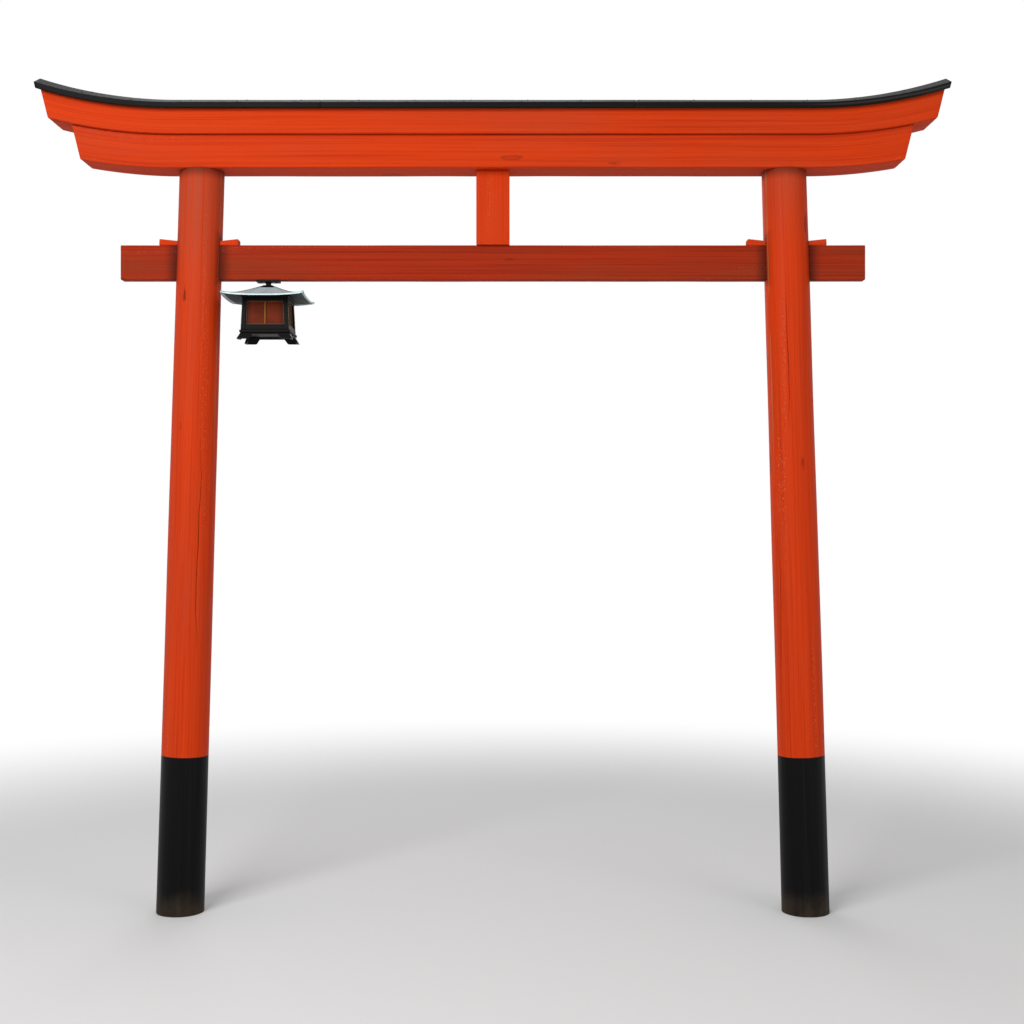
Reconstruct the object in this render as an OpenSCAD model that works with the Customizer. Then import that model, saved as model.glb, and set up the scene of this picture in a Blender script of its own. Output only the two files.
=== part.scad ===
// Torii gate: two leaning log posts, a wedged tie beam, two swept lintels under a boarded top,
// and a small lantern fixed under the tie beam. Millimetres, +Z up, the front faces -Y.
// The origin is the centre of the left post's foot, on the ground.

/* [Posts] */
// Clear width between the posts at the ground
clear_w = 2100; // [1600:10:3000]
// Diameter of a post at the ground
post_foot_d = 172; // [150:1:220]
// Diameter of a post at its top
post_top_d = 160; // [140:1:200]
// Inward lean of each post, in degrees
post_lean = 1.7; // [0:0.1:3]
// Side of the square tenon on top of a post
post_tenon_w = 60; // [40:1:80]
// Length of that tenon
post_tenon_l = 60; // [30:1:80]

/* [Root wraps] */
// Height of the black root wrap, along the post
wrap_h = 570; // [400:5:900]
// Thickness of the root wrap
wrap_t = 4; // [3:0.5:8]

/* [Tie beam] */
// Height of the tie beam's underside above the ground
tie_z = 2290; // [1900:10:2700]
// Height of the tie beam's section
tie_h = 125; // [90:1:160]
// Thickness of the tie beam
tie_t = 50; // [40:1:64]
// How far the tie beam runs on past a post's outer face
tie_overhang = 200; // [140:5:300]

/* [Wedges] */
// How far a wedge stands out of its post
wedge_out = 62; // [30:1:100]
// Thickness of a wedge's thin end
wedge_tip_t = 8; // [5:0.5:14]
// Rise of a wedge's upper face, in degrees
wedge_rise = 6; // [3:0.5:9]
// Space between the two wedges of a post
wedge_apart = 16; // [6:1:40]

/* [Centre strut] */
// Clear height between the tie beam and the lower lintel
strut_h = 270; // [200:5:400]
// Width of the centre strut
strut_w = 120; // [80:1:180]
// Depth of the centre strut, front to back
strut_t = 72; // [60:1:110]
// Width of the strut's two tenons
strut_tenon_w = 72; // [40:1:78]
// Thickness of the strut's two tenons
strut_tenon_t = 24; // [16:1:30]
// Length of the strut's two tenons
strut_tenon_l = 30; // [20:1:45]

/* [Lower lintel] */
// Height of the lower lintel's section
lower_h = 118; // [95:1:160]
// Depth of the lower lintel, front to back
lower_t = 150; // [120:1:175]
// Reach of the lower lintel past a post's outer face
lower_reach = 335; // [250:5:450]

/* [Top lintel] */
// Height of the top lintel's upright sides
top_side_h = 92; // [70:1:130]
// Depth of the top lintel, front to back
top_t = 180; // [160:1:220]
// How much further the top lintel reaches than the lower one
top_reach = 76; // [40:1:120]
// Slope of the top's two faces, in degrees
top_pitch = 19; // [10:1:30]

/* [Sweep and ends] */
// Radius of the upward sweep at the lower lintel's underside
sweep_r = 1900; // [1500:10:4000]
// Distance from a post's outer face to the start of the sweep
sweep_from = 10; // [0:1:60]
// Slant of the end cuts, in degrees from upright
end_slant = 14; // [0:1:25]

/* [Weather boards] */
// Thickness of the boards on top
board_t = 20; // [12:1:35]
// Overhang of the boards past the top lintel's faces
board_out = 18; // [5:1:35]
// Overhang of the boards past the top lintel's ends
board_end_out = 14; // [0:1:30]

/* [Lantern] */
// Gap between the left post, at the tie beam, and the lantern's eaves
lantern_gap = 24; // [12:1:400]
// Width of the lantern's body at its top
lantern_w = 162; // [120:1:200]
// How much wider the body is at its bottom
lantern_flare = 11; // [0:1:24]
// Height of the lantern's body
lantern_h = 118; // [90:1:180]
// Thickness of the body's wooden frame
frame_t = 10; // [8:1:16]
// Width of the body's corner stiles
stile_w = 16; // [12:1:24]
// Height of the body's top rail
top_rail_h = 13; // [10:1:24]
// Height of the body's bottom rail
bottom_rail_h = 20; // [12:1:30]
// Width of the thin bar down the middle of each window
muntin_w = 5; // [4:0.5:8]
// Depth of that bar
muntin_t = 6.5; // [4:0.5:8]
// Thickness of a pane
pane_t = 3; // [2:0.5:5]

/* [Lantern roof] */
// How far the eaves reach past the bottom of the body
eaves_out = 61; // [45:1:75]
// Height of the roof from its eaves to its peak
roof_h = 50; // [38:1:80]
// Thickness of the roof's sheet
sheet_t = 3; // [2:0.5:5]
// Rise of the roof's four corners
corner_lift = 9; // [0:0.5:16]
// Width of the flat square at the roof's peak
peak_w = 30; // [24:1:44]
// Thickness of the ceiling board under the roof
ceiling_t = 6; // [4:0.5:8]
// How far the ceiling board stands out past the body
ceiling_out = 4; // [0:0.5:8]

/* [Lantern mounting and feet] */
// Length of the plate under the tie beam
plate_l = 84; // [60:1:120]
// Width of that plate, front to back
plate_w = 44; // [34:1:50]
// Thickness of that plate
plate_t = 7; // [4:0.5:10]
// Diameter of the stem between the plate and the roof
stem_d = 20; // [12:1:22]
// Length of that stem
stem_l = 13; // [8:1:40]
// Thickness of the lantern's floor board
floor_t = 9; // [6:0.5:14]
// How far the floor board stands out past the body
floor_out = 4; // [0:0.5:8]
// Height of the feet under the floor board
feet_h = 24; // [16:1:40]
// How far the feet spread past the body
feet_spread = 13; // [8:0.5:20]
// Width of each foot along a side
foot_w = 36; // [26:1:44]
// Height of the skirt between the feet
skirt_h = 7; // [4:0.5:12]
// Thickness of the feet and the skirt
feet_t = 10; // [7:0.5:14]
// How much wider each foot is at its top than at the ground end
foot_taper = 8; // [0:0.5:12]

/* [Fits] */
// Clearance around tenons, wedges and panes
fit_gap = 0.5; // [0.3:0.1:0.9]
// Gap between curved faces that lie on each other
curve_gap = 0.3; // [0.2:0.1:0.6]
// Space left past the end of a tenon
tenon_end_gap = 4; // [2:1:8]

/* [Hidden] */

vermilion = [0.80, 0.20, 0.05];
faded = [0.70, 0.24, 0.10];
black = [0.07, 0.06, 0.06];
tin = [0.66, 0.71, 0.68];
paper = [0.86, 0.66, 0.46];

// Margin by which cutting shapes run past what they cut
cut = 30;
mid_x = (clear_w + post_foot_d) / 2;
tie_top = tie_z + tie_h;
lintel_z = tie_top + strut_h;
axis_l = lintel_z / cos(post_lean);
lower_top = lintel_z + lower_h;
top_z = lower_top + curve_gap;
top_rise = top_t / 2 * tan(top_pitch);

// Radius of a post at a distance along its axis from the ground
function post_r(a) = (post_foot_d + (post_top_d - post_foot_d) * a / axis_l) / 2;
// Centre of the left post at a height above the ground
function post_x(z) = z * tan(post_lean);
// Half the width of the left post's level section at a height
function post_half(z) = post_r(z / cos(post_lean)) / cos(post_lean);

tie_end = post_x(tie_z + tie_h / 2) - post_half(tie_z + tie_h / 2) - tie_overhang;
top_outer = post_x(lintel_z) - post_half(lintel_z);
bend_x = top_outer - sweep_from;
lower_end = top_outer - lower_reach;
top_end = lower_end - top_reach;
board_end = top_end - board_end_out;

// A piece on the right, as the mirror image of the one on the left
module on_right() {
    translate([2 * mid_x, 0, 0])
        mirror([1, 0, 0])
            children();
}

// Round tapering log along the left post's axis, from one distance along it to another
module round_log(from, to, inset) {
    rotate([0, post_lean, 0])
        translate([0, 0, from])
            cylinder(h = to - from, r1 = post_r(from) - inset, r2 = post_r(to) - inset, $fn = 96);
}

// Everything between two heights
module level_slab(from, to) {
    translate([-2 * post_foot_d, -post_foot_d, from])
        cube([4 * post_foot_d + 2 * post_x(to), 2 * post_foot_d, to - from]);
}

// Outline of the slot that the tie beam and its wedges share, in front view
module tie_slot() {
    x = post_x(tie_top);
    half = post_half(tie_z) + abs(post_x(tie_z) - x) + cut;
    rise = half * tan(wedge_rise);
    translate([0, tie_t / 2 + fit_gap, 0])
        rotate([90, 0, 0])
            linear_extrude(tie_t + 2 * fit_gap)
                polygon([
                    [x - half, tie_z],
                    [x + half, tie_z],
                    [x + half, tie_top + wedge_tip_t + rise + fit_gap],
                    [x, tie_top + wedge_tip_t + fit_gap],
                    [x - half, tie_top + wedge_tip_t + rise + fit_gap]
                ]);
}

// The left log: cut level at the ground, dressed down for its root wrap, slotted and tenoned
module post() {
    difference() {
        intersection() {
            union() {
                round_log(-cut, wrap_h + cut, wrap_t + curve_gap);
                round_log(wrap_h, axis_l + cut, 0);
            }
            level_slab(0, lintel_z);
        }
        tie_slot();
    }
    translate([post_x(lintel_z) - post_tenon_w / 2, -post_tenon_w / 2, lintel_z])
        cube([post_tenon_w, post_tenon_w, post_tenon_l]);
}

// Thin black sheath that lies flush in the dressed foot of the log
module root_wrap() {
    intersection() {
        difference() {
            round_log(-cut, wrap_h, 0);
            round_log(-2 * cut, wrap_h + cut, wrap_t);
        }
        level_slab(0, 2 * wrap_h);
    }
}

// Wedge over the tie beam on one side of the left post: side is 1 inside and -1 outside
module wedge(side) {
    x = post_x(tie_top);
    near = wedge_apart / 2;
    far = post_half(tie_top) + wedge_out;
    translate([x, tie_t / 2 - fit_gap, 0])
        rotate([90, 0, 0])
            linear_extrude(tie_t - 2 * fit_gap)
                polygon([
                    [side * near, tie_top],
                    [side * far, tie_top],
                    [side * far, tie_top + wedge_tip_t + far * tan(wedge_rise)],
                    [side * near, tie_top + wedge_tip_t + near * tan(wedge_rise)]
                ]);
}

// Tenon of the centre strut, or its mortise with a clearance, upwards from a height
module strut_tenon(z, l, gap) {
    translate([mid_x - strut_tenon_w / 2 - gap, -strut_tenon_t / 2 - gap, z])
        cube([strut_tenon_w + 2 * gap, strut_tenon_t + 2 * gap, l]);
}

// Half of a lintel: a section of [depth, height above the lower lintel's underside] points,
// straight over the posts and then swept up along a circle
module half_lintel(section, reach) {
    depth = max([for (p = section) p[1]]);
    run = bend_x - reach + depth * tan(end_slant) + cut;
    translate([bend_x, 0, lintel_z])
        rotate([90, 0, 90])
            linear_extrude(mid_x - bend_x)
                polygon(section);
    translate([bend_x, 0, lintel_z + sweep_r])
        mirror([1, 0, 0])
            rotate([90, 90, 0])
                rotate_extrude(angle = asin(run / (sweep_r - depth)), $fn = 720)
                    polygon([for (p = section) [sweep_r - p[1], -p[0]]]);
}

// Everything between the two slanted end cuts through the level of the lower lintel's underside
module between_ends(end) {
    up = 4 * (lower_h + top_side_h + top_rise + board_t);
    down = lower_h;
    wide = 2 * top_t;
    translate([0, wide / 2, 0])
        rotate([90, 0, 0])
            linear_extrude(wide)
                polygon([
                    [end + down * tan(end_slant), lintel_z - down],
                    [2 * mid_x - end - down * tan(end_slant), lintel_z - down],
                    [2 * mid_x - end + up * tan(end_slant), lintel_z + up],
                    [end - up * tan(end_slant), lintel_z + up]
                ]);
}

module lintel(section, end) {
    intersection() {
        union() {
            half_lintel(section, end);
            on_right()
                half_lintel(section, end);
        }
        between_ends(end);
    }
}

// Section of the board on the front (side -1) or back (side 1) face of the top
function board_section(side) =
    let (
        base = top_z - lintel_z + top_side_h + curve_gap,
        out = top_t / 2 + board_out,
        drop = board_out * tan(top_pitch),
        thick = board_t / cos(top_pitch)
    ) [
        [0, base + top_rise],
        [side * out, base - drop],
        [side * out, base - drop + thick],
        [0, base + top_rise + thick]
    ];

module left_post() {
    color(vermilion)
        post();
}

module right_post() {
    color(vermilion)
        on_right()
            post();
}

module left_root_wrap() {
    color(black)
        root_wrap();
}

module right_root_wrap() {
    color(black)
        on_right()
            root_wrap();
}

module tie_beam() {
    color(faded)
        difference() {
            translate([tie_end, -tie_t / 2, tie_z])
                cube([2 * (mid_x - tie_end), tie_t, tie_h]);
            strut_tenon(tie_top - strut_tenon_l - tenon_end_gap, strut_tenon_l + tenon_end_gap + cut, fit_gap);
        }
}

module left_outer_wedge() {
    color(vermilion)
        wedge(-1);
}

module left_inner_wedge() {
    color(vermilion)
        wedge(1);
}

module right_inner_wedge() {
    color(vermilion)
        on_right()
            wedge(1);
}

module right_outer_wedge() {
    color(vermilion)
        on_right()
            wedge(-1);
}

module centre_strut() {
    color(vermilion) {
        translate([mid_x - strut_w / 2, -strut_t / 2, tie_top])
            cube([strut_w, strut_t, strut_h]);
        strut_tenon(tie_top - strut_tenon_l, strut_tenon_l, 0);
        strut_tenon(lintel_z, strut_tenon_l, 0);
    }
}

// Mortise in the lower lintel for the left post's tenon
module post_mortise() {
    side = post_tenon_w + 2 * fit_gap;
    translate([post_x(lintel_z) - side / 2, -side / 2, lintel_z - cut])
        cube([side, side, cut + post_tenon_l + tenon_end_gap]);
}

module lower_lintel() {
    color(vermilion)
        difference() {
            lintel([
                [-lower_t / 2, 0],
                [lower_t / 2, 0],
                [lower_t / 2, lower_h],
                [-lower_t / 2, lower_h]
            ], lower_end);
            post_mortise();
            on_right()
                post_mortise();
            strut_tenon(lintel_z - cut, cut + strut_tenon_l + tenon_end_gap, fit_gap);
        }
}

module top_lintel() {
    base = top_z - lintel_z;
    color(vermilion)
        lintel([
            [-top_t / 2, base],
            [top_t / 2, base],
            [top_t / 2, base + top_side_h],
            [0, base + top_side_h + top_rise],
            [-top_t / 2, base + top_side_h]
        ], top_end);
}

module front_weather_board() {
    color(black)
        lintel(board_section(-1), board_end);
}

module back_weather_board() {
    color(black)
        lintel(board_section(1), board_end);
}

/* The lantern, from the tie beam down */
body_w = lantern_w + lantern_flare;
roof_w = body_w + 2 * eaves_out;
lantern_x = post_x(tie_z) + post_half(tie_z) + lantern_gap + roof_w / 2;
roof_top = tie_z - plate_t - stem_l;
body_top = roof_top - roof_h;
body_z = body_top - lantern_h;
feet_z = body_z - floor_t - feet_h;
// Points along each side of the roof, and steps from its flat peak down to the eaves
roof_steps = 8;
roof_rings = 7;
// Hollowness of the roof's slope, where 1 is straight, and how tightly its corners lift
roof_hollow = 1.5;
corner_grip = 3;

module at_lantern(z) {
    translate([lantern_x, 0, z])
        children();
}

// Upright square frustum on its base, from a bottom width to a top width
module frustum(bottom_w, top_w, h) {
    b = bottom_w / 2;
    t = top_w / 2;
    polyhedron(
        points = [
            [-b, -b, 0], [b, -b, 0], [b, b, 0], [-b, b, 0],
            [-t, -t, h], [t, -t, h], [t, t, h], [-t, t, h]
        ],
        faces = [[0, 1, 2, 3], [7, 6, 5, 4], [0, 4, 5, 1], [1, 5, 6, 2], [2, 6, 7, 3], [3, 7, 4, 0]]
    );
}

// Width of the body between two faces set in by a depth, at a height above its bottom
function body_at(z, inset) = body_w - lantern_flare * z / lantern_h - 2 * inset;

// Leaning board on the body's front side, between two insets and two heights, which gets
// narrower by a shift at each side over its height
module leaning_board(outer, inner, half_w, shift, from, to) {
    low = body_at(from, 0) / 2;
    high = body_at(to, 0) / 2;
    polyhedron(
        points = [
            [-half_w, outer - low, from], [half_w, outer - low, from],
            [half_w, inner - low, from], [-half_w, inner - low, from],
            [-half_w + shift, outer - high, to], [half_w - shift, outer - high, to],
            [half_w - shift, inner - high, to], [-half_w + shift, inner - high, to]
        ],
        faces = [[0, 1, 2, 3], [7, 6, 5, 4], [0, 4, 5, 1], [1, 5, 6, 2], [2, 6, 7, 3], [3, 7, 4, 0]]
    );
}

// Window opening through two opposite sides of the body
module window_cut() {
    low = body_at(bottom_rail_h, stile_w) / 2;
    high = body_at(lantern_h - top_rail_h, stile_w) / 2;
    translate([0, body_w, 0])
        rotate([90, 0, 0])
            linear_extrude(2 * body_w)
                polygon([
                    [-low, bottom_rail_h],
                    [low, bottom_rail_h],
                    [high, lantern_h - top_rail_h],
                    [-high, lantern_h - top_rail_h]
                ]);
}

// Thin upright bar in the middle of the front window, let into both rails
module muntin() {
    leaning_board(frame_t - muntin_t, frame_t, muntin_w / 2, 0,
        bottom_rail_h / 2, lantern_h - top_rail_h / 2);
}

// Pane that stands on the floor board behind the frame, turned to one of the four sides
module pane(turn) {
    outer = frame_t + fit_gap;
    half_w = body_at(0, outer + pane_t + fit_gap) / 2;
    top = lantern_h - fit_gap;
    at_lantern(body_z)
        rotate([0, 0, turn])
            leaning_board(outer, outer + pane_t, half_w, (body_w - body_at(top, 0)) / 2, 0, top);
}

// Distance out from the roof's axis, as a share of its half width, at a ring below the peak
function ring_out(i) = peak_w / roof_w + (1 - peak_w / roof_w) * i / roof_rings;
// Share of the corner lift at a ring's share of the half width
function lift_at(out) =
    let (flat = body_w / roof_w)
        max(0, (out - flat) / (1 - flat)) ^ 2;
// Point around a square of a half width, at a step around its four sides
function around(step, half) =
    let (
        side = floor(step / roof_steps),
        u = 2 * (step % roof_steps) / roof_steps - 1,
        p = [u * half, -half]
    ) [p[0] * cos(90 * side) - p[1] * sin(90 * side), p[0] * sin(90 * side) + p[1] * cos(90 * side), abs(u)];
// Height of the sheet's lower face, which is steep at the peak and shallow at the eaves
function roof_z(out) = (roof_h - sheet_t) * ((1 - out) / (1 - peak_w / roof_w)) ^ roof_hollow;

// Ring of points at a share of the roof's half width, on the sheet's face at an offset
function roof_ring(out, offset) = [
    for (s = [0 : 4 * roof_steps - 1])
        let (p = around(s, roof_w / 2 * out))
            [p[0], p[1], roof_z(out) + offset + corner_lift * lift_at(out) * p[2] ^ corner_grip]
];

// Quads between two rings of a stack, as index lists
function ring_quads(ring, count) = [
    for (s = [0 : count - 1])
        [
            ring * count + s,
            ring * count + (s + 1) % count,
            (ring + 1) * count + (s + 1) % count,
            (ring + 1) * count + s
        ]
];

// Thin sheet roof: its upper face out to the eaves, then its lower face back to the peak
module roof_sheet() {
    count = 4 * roof_steps;
    top = [for (i = [0 : roof_rings]) roof_ring(ring_out(i), sheet_t)];
    under = [for (i = [roof_rings : -1 : 0]) roof_ring(ring_out(i), 0)];
    rings = concat(top, under);
    last = (len(rings) - 1) * count;
    peak = len(rings) * count;
    polyhedron(
        points = concat([for (r = rings) for (p = r) p], [[0, 0, roof_h], [0, 0, roof_h - sheet_t]]),
        faces = concat(
            [for (s = [0 : count - 1]) [(s + 1) % count, s, peak]],
            [for (k = [0 : len(rings) - 2]) for (q = ring_quads(k, count)) q],
            [for (s = [0 : count - 1]) [last + s, last + (s + 1) % count, peak + 1]]
        )
    );
}

module lantern_plate() {
    color(black)
        at_lantern(0) {
            translate([-plate_l / 2, -plate_w / 2, tie_z - plate_t])
                cube([plate_l, plate_w, plate_t]);
            translate([0, 0, roof_top])
                cylinder(h = stem_l, d = stem_d, $fn = 48);
        }
}

module lantern_roof() {
    color(tin)
        at_lantern(body_top)
            roof_sheet();
}

// Ceiling board on the body, with the block that carries the roof's peak
module lantern_ceiling() {
    w = lantern_w + 2 * ceiling_out;
    block = peak_w - 2 * fit_gap;
    color(black)
        at_lantern(body_top) {
            translate([-w / 2, -w / 2, 0])
                cube([w, w, ceiling_t]);
            translate([-block / 2, -block / 2, 0])
                cube([block, block, roof_h - sheet_t]);
        }
}

module lantern_frame() {
    color(black)
        at_lantern(body_z) {
            difference() {
                frustum(body_w, lantern_w, lantern_h);
                translate([0, 0, -cut])
                    frustum(body_at(-cut, frame_t), body_at(lantern_h + cut, frame_t), lantern_h + 2 * cut);
                window_cut();
                rotate([0, 0, 90])
                    window_cut();
            }
            for (turn = [0 : 90 : 270])
                rotate([0, 0, turn])
                    muntin();
        }
}

module lantern_front_pane() {
    color(paper)
        pane(0);
}

module lantern_right_pane() {
    color(paper)
        pane(90);
}

module lantern_back_pane() {
    color(paper)
        pane(180);
}

module lantern_left_pane() {
    color(paper)
        pane(270);
}

module lantern_floor() {
    w = body_w + 2 * floor_out;
    color(black)
        at_lantern(body_z - floor_t)
            translate([-w / 2, -w / 2, 0])
                cube([w, w, floor_t]);
}

// Flared skirt under the floor board, cut away between its four corner feet
module lantern_feet() {
    spread = body_w + 2 * feet_spread;
    lean = 2 * feet_spread * cut / feet_h;
    gap = spread - 2 * foot_w;
    color(black)
        at_lantern(feet_z)
            difference() {
                frustum(spread, body_w, feet_h);
                translate([0, 0, -cut])
                    frustum(spread - 2 * feet_t + lean, body_w - 2 * feet_t - lean, feet_h + 2 * cut);
                for (turn = [0, 90])
                    rotate([0, 0, turn])
                        translate([0, spread, 0])
                            rotate([90, 0, 0])
                                linear_extrude(2 * spread)
                                    polygon([
                                        [-gap / 2, -cut],
                                        [gap / 2, -cut],
                                        [gap / 2, 0],
                                        [gap / 2 - foot_taper, feet_h - skirt_h],
                                        [foot_taper - gap / 2, feet_h - skirt_h],
                                        [-gap / 2, 0]
                                    ]);
            }
}

left_post();
right_post();
left_root_wrap();
right_root_wrap();
tie_beam();
left_outer_wedge();
left_inner_wedge();
right_inner_wedge();
right_outer_wedge();
centre_strut();
lower_lintel();
top_lintel();
front_weather_board();
back_weather_board();
lantern_plate();
lantern_roof();
lantern_ceiling();
lantern_frame();
lantern_front_pane();
lantern_back_pane();
lantern_left_pane();
lantern_right_pane();
lantern_floor();
lantern_feet();
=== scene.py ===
"""A vermilion torii gate with a small lantern under its tie beam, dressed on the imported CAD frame.

The frame fixes every place and size. The timbers are made again here as numpy surfaces with
eased edges, drying checks and end grain, and every piece gets a procedural finish that reads
the piece's own grain coordinates. All lengths are in metres, +Z is up and the front faces -Y.
"""

import logging
import math
from dataclasses import dataclass
from enum import Enum
from typing import TypeAlias

import bpy
import numpy as np
from numpy.typing import NDArray
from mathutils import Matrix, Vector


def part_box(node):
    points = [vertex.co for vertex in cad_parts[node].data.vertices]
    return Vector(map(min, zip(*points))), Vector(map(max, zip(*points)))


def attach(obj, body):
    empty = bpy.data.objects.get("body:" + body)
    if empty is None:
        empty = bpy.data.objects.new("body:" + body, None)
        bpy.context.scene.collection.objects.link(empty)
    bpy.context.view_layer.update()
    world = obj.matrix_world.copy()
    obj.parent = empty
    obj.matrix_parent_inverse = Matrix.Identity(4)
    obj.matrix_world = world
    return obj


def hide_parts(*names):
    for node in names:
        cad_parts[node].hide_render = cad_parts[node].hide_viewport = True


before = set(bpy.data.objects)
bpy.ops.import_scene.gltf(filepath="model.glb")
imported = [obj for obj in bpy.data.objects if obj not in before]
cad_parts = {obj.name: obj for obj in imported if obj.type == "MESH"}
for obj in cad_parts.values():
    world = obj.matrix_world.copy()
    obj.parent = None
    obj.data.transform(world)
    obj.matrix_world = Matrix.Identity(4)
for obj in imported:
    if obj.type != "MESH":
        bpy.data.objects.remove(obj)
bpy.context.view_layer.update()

Array = NDArray[np.float64]
Colour = tuple[float, float, float]
Point = tuple[float, float, float]
Pair = tuple[float, float]
Shell = tuple[Array, Array, Array]
Operand: TypeAlias = "Wire | float | Point"
Piece = bpy.types.Object
log = logging.getLogger("torii")


# Numbers and surfaces


def mm(value: float) -> float:
    """A length in millimetres as metres."""
    return value / 1000.0


def srgb(red: float, green: float, blue: float) -> Colour:
    """A colour written as 0 to 255 values, as the linear colour that a shader socket takes.

    Args:
        red: Red value.
        green: Green value.
        blue: Blue value.

    Returns:
        The three linear values: the value over 12.92 below 0.04045, and above it the power 2.4
        of (value + 0.055) / 1.055.
    """
    value = np.array([red, green, blue]) / 255.0
    linear = np.where(value <= 0.04045, value / 12.92, ((value + 0.055) / 1.055) ** 2.4)
    return float(linear[0]), float(linear[1]), float(linear[2])


def waver(points: Array, seed: int) -> Array:
    """Smooth random value between -1 and 1 at each point of space.

    Every corner of a unit lattice has a fixed random value, and a point takes the mean of the
    eight corners around it, weighted by the smooth step 3 t^2 - 2 t^3 of its place between them.

    Args:
        points: Any array whose last axis holds three coordinates, in lattice steps.
        seed: Number that picks the lattice's values.

    Returns:
        One value for each point.
    """
    table = np.random.default_rng(seed).uniform(-1.0, 1.0, 4096)
    cell = np.floor(points).astype(np.int64)
    part = points - cell
    part = part * part * (3.0 - 2.0 * part)
    total = np.zeros(points.shape[:-1])
    for corner in np.ndindex(2, 2, 2):
        at = cell + np.array(corner)
        key = (at[..., 0] * 73856093) ^ (at[..., 1] * 19349663) ^ (at[..., 2] * 83492791)
        weight = np.prod(np.where(corner, part, 1.0 - part), axis=-1)
        total += weight * table[key & 4095]
    return total


@dataclass(frozen=True)
class Outline:
    """A closed outline in a plane, anticlockwise.

    Attributes:
        points: Places along the outline, of shape (points, 2).
        normals: Outward normal at each of them.
    """

    points: Array
    normals: Array

    def inset(self, depth: Array) -> Array:
        """The outline moved inward along its normals, once for each depth in an array."""
        return self.points[None] - depth[:, None, None] * self.normals[None]


def eased_outline(corners: list[Pair], ease: float, side: int, arc: int = 4) -> Outline:
    """Outline of a convex polygon whose corners are rounded.

    Each corner becomes an arc about the point that lies the ease inside both of its sides:
    corner - ease (n1 + n2) / (1 + n1 . n2), with n1 and n2 the normals of the two sides. The
    sides between the arcs are divided evenly.

    Args:
        corners: Corners of the polygon, anticlockwise.
        ease: Radius of the rounding.
        side: Number of points between two arcs.
        arc: Number of points on each arc.

    Returns:
        The outline with its normals.
    """
    corner = np.array(corners, float)
    along = np.roll(corner, -1, axis=0) - corner
    along /= np.linalg.norm(along, axis=1, keepdims=True)
    leaving = np.stack([along[:, 1], -along[:, 0]], axis=1)
    coming = np.roll(leaving, 1, axis=0)
    centre = corner - ease * (coming + leaving) / (1.0 + (coming * leaving).sum(1, keepdims=True))
    start = np.arctan2(coming[:, 1], coming[:, 0])
    turn = (np.arctan2(leaving[:, 1], leaving[:, 0]) - start) % (2.0 * np.pi)
    angle = start[:, None] + turn[:, None] * np.linspace(0.0, 1.0, arc)
    arc_normal = np.stack([np.cos(angle), np.sin(angle)], axis=2)
    arc_point = centre[:, None] + ease * arc_normal
    step = np.linspace(0.0, 1.0, side + 2)[1:-1]
    last, first = arc_point[:, -1:], np.roll(arc_point, -1, axis=0)[:, :1]
    side_point = last + (first - last) * step[None, :, None]
    side_normal = np.repeat(leaving[:, None], side, axis=1)
    points = np.concatenate([arc_point, side_point], axis=1).reshape(-1, 2)
    normals = np.concatenate([arc_normal, side_normal], axis=1).reshape(-1, 2)
    return Outline(points, normals)


def rectangle(width: float, height: float, ease: float, side: int = 5) -> Outline:
    """Outline of an eased rectangle about the middle, from its width and height."""
    w, h = width / 2.0, height / 2.0
    return eased_outline([(-w, -h), (w, -h), (w, h), (-w, h)], ease, side)


@dataclass(frozen=True)
class Stations:
    """Rows of a timber from one end to the other.

    Attributes:
        place: Share of the half length, from -1 at one end to 1 at the other.
        back: Distance in from the nearer end, along the timber.
        inset: How far the outline moves inward.
        scale: Size of the outline about its middle, which shrinks on the end faces.
    """

    place: Array
    back: Array
    inset: Array
    scale: Array


def stations(ease: float, steps: int, rings: int = 5) -> Stations:
    """Rows for a timber whose two ends are rounded over and closed.

    From an end's middle the rows grow over the end face, turn round the edge on a quarter
    circle of the ease, where back = ease (1 - sin a) and inset = ease (1 - cos a), and then run
    along the timber to the same rows at the other end.

    Args:
        ease: Radius of the rounding at the ends.
        steps: Number of rows between the two rounded edges.
        rings: Number of rows on an end face.

    Returns:
        The rows, as arrays of one length.
    """
    arc = 4
    angle = np.linspace(np.pi / 2.0, 0.0, arc)
    face = np.linspace(0.06, 1.0, rings)[:-1]
    back = np.concatenate([np.zeros(rings - 1), ease * (1.0 - np.sin(angle))])
    inset = np.concatenate([np.full(rings - 1, ease), ease * (1.0 - np.cos(angle))])
    scale = np.concatenate([face, np.ones(arc)])
    run = np.linspace(-1.0, 1.0, steps + 2)[1:-1]
    ends = np.full(back.size, -1.0)
    zeros, ones = np.zeros(steps), np.ones(steps)
    return Stations(
        place=np.concatenate([ends, run, -ends]),
        back=np.concatenate([back, ease * ones, back[::-1]]),
        inset=np.concatenate([inset, zeros, inset[::-1]]),
        scale=np.concatenate([scale, ones, scale[::-1]]),
    )


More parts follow.
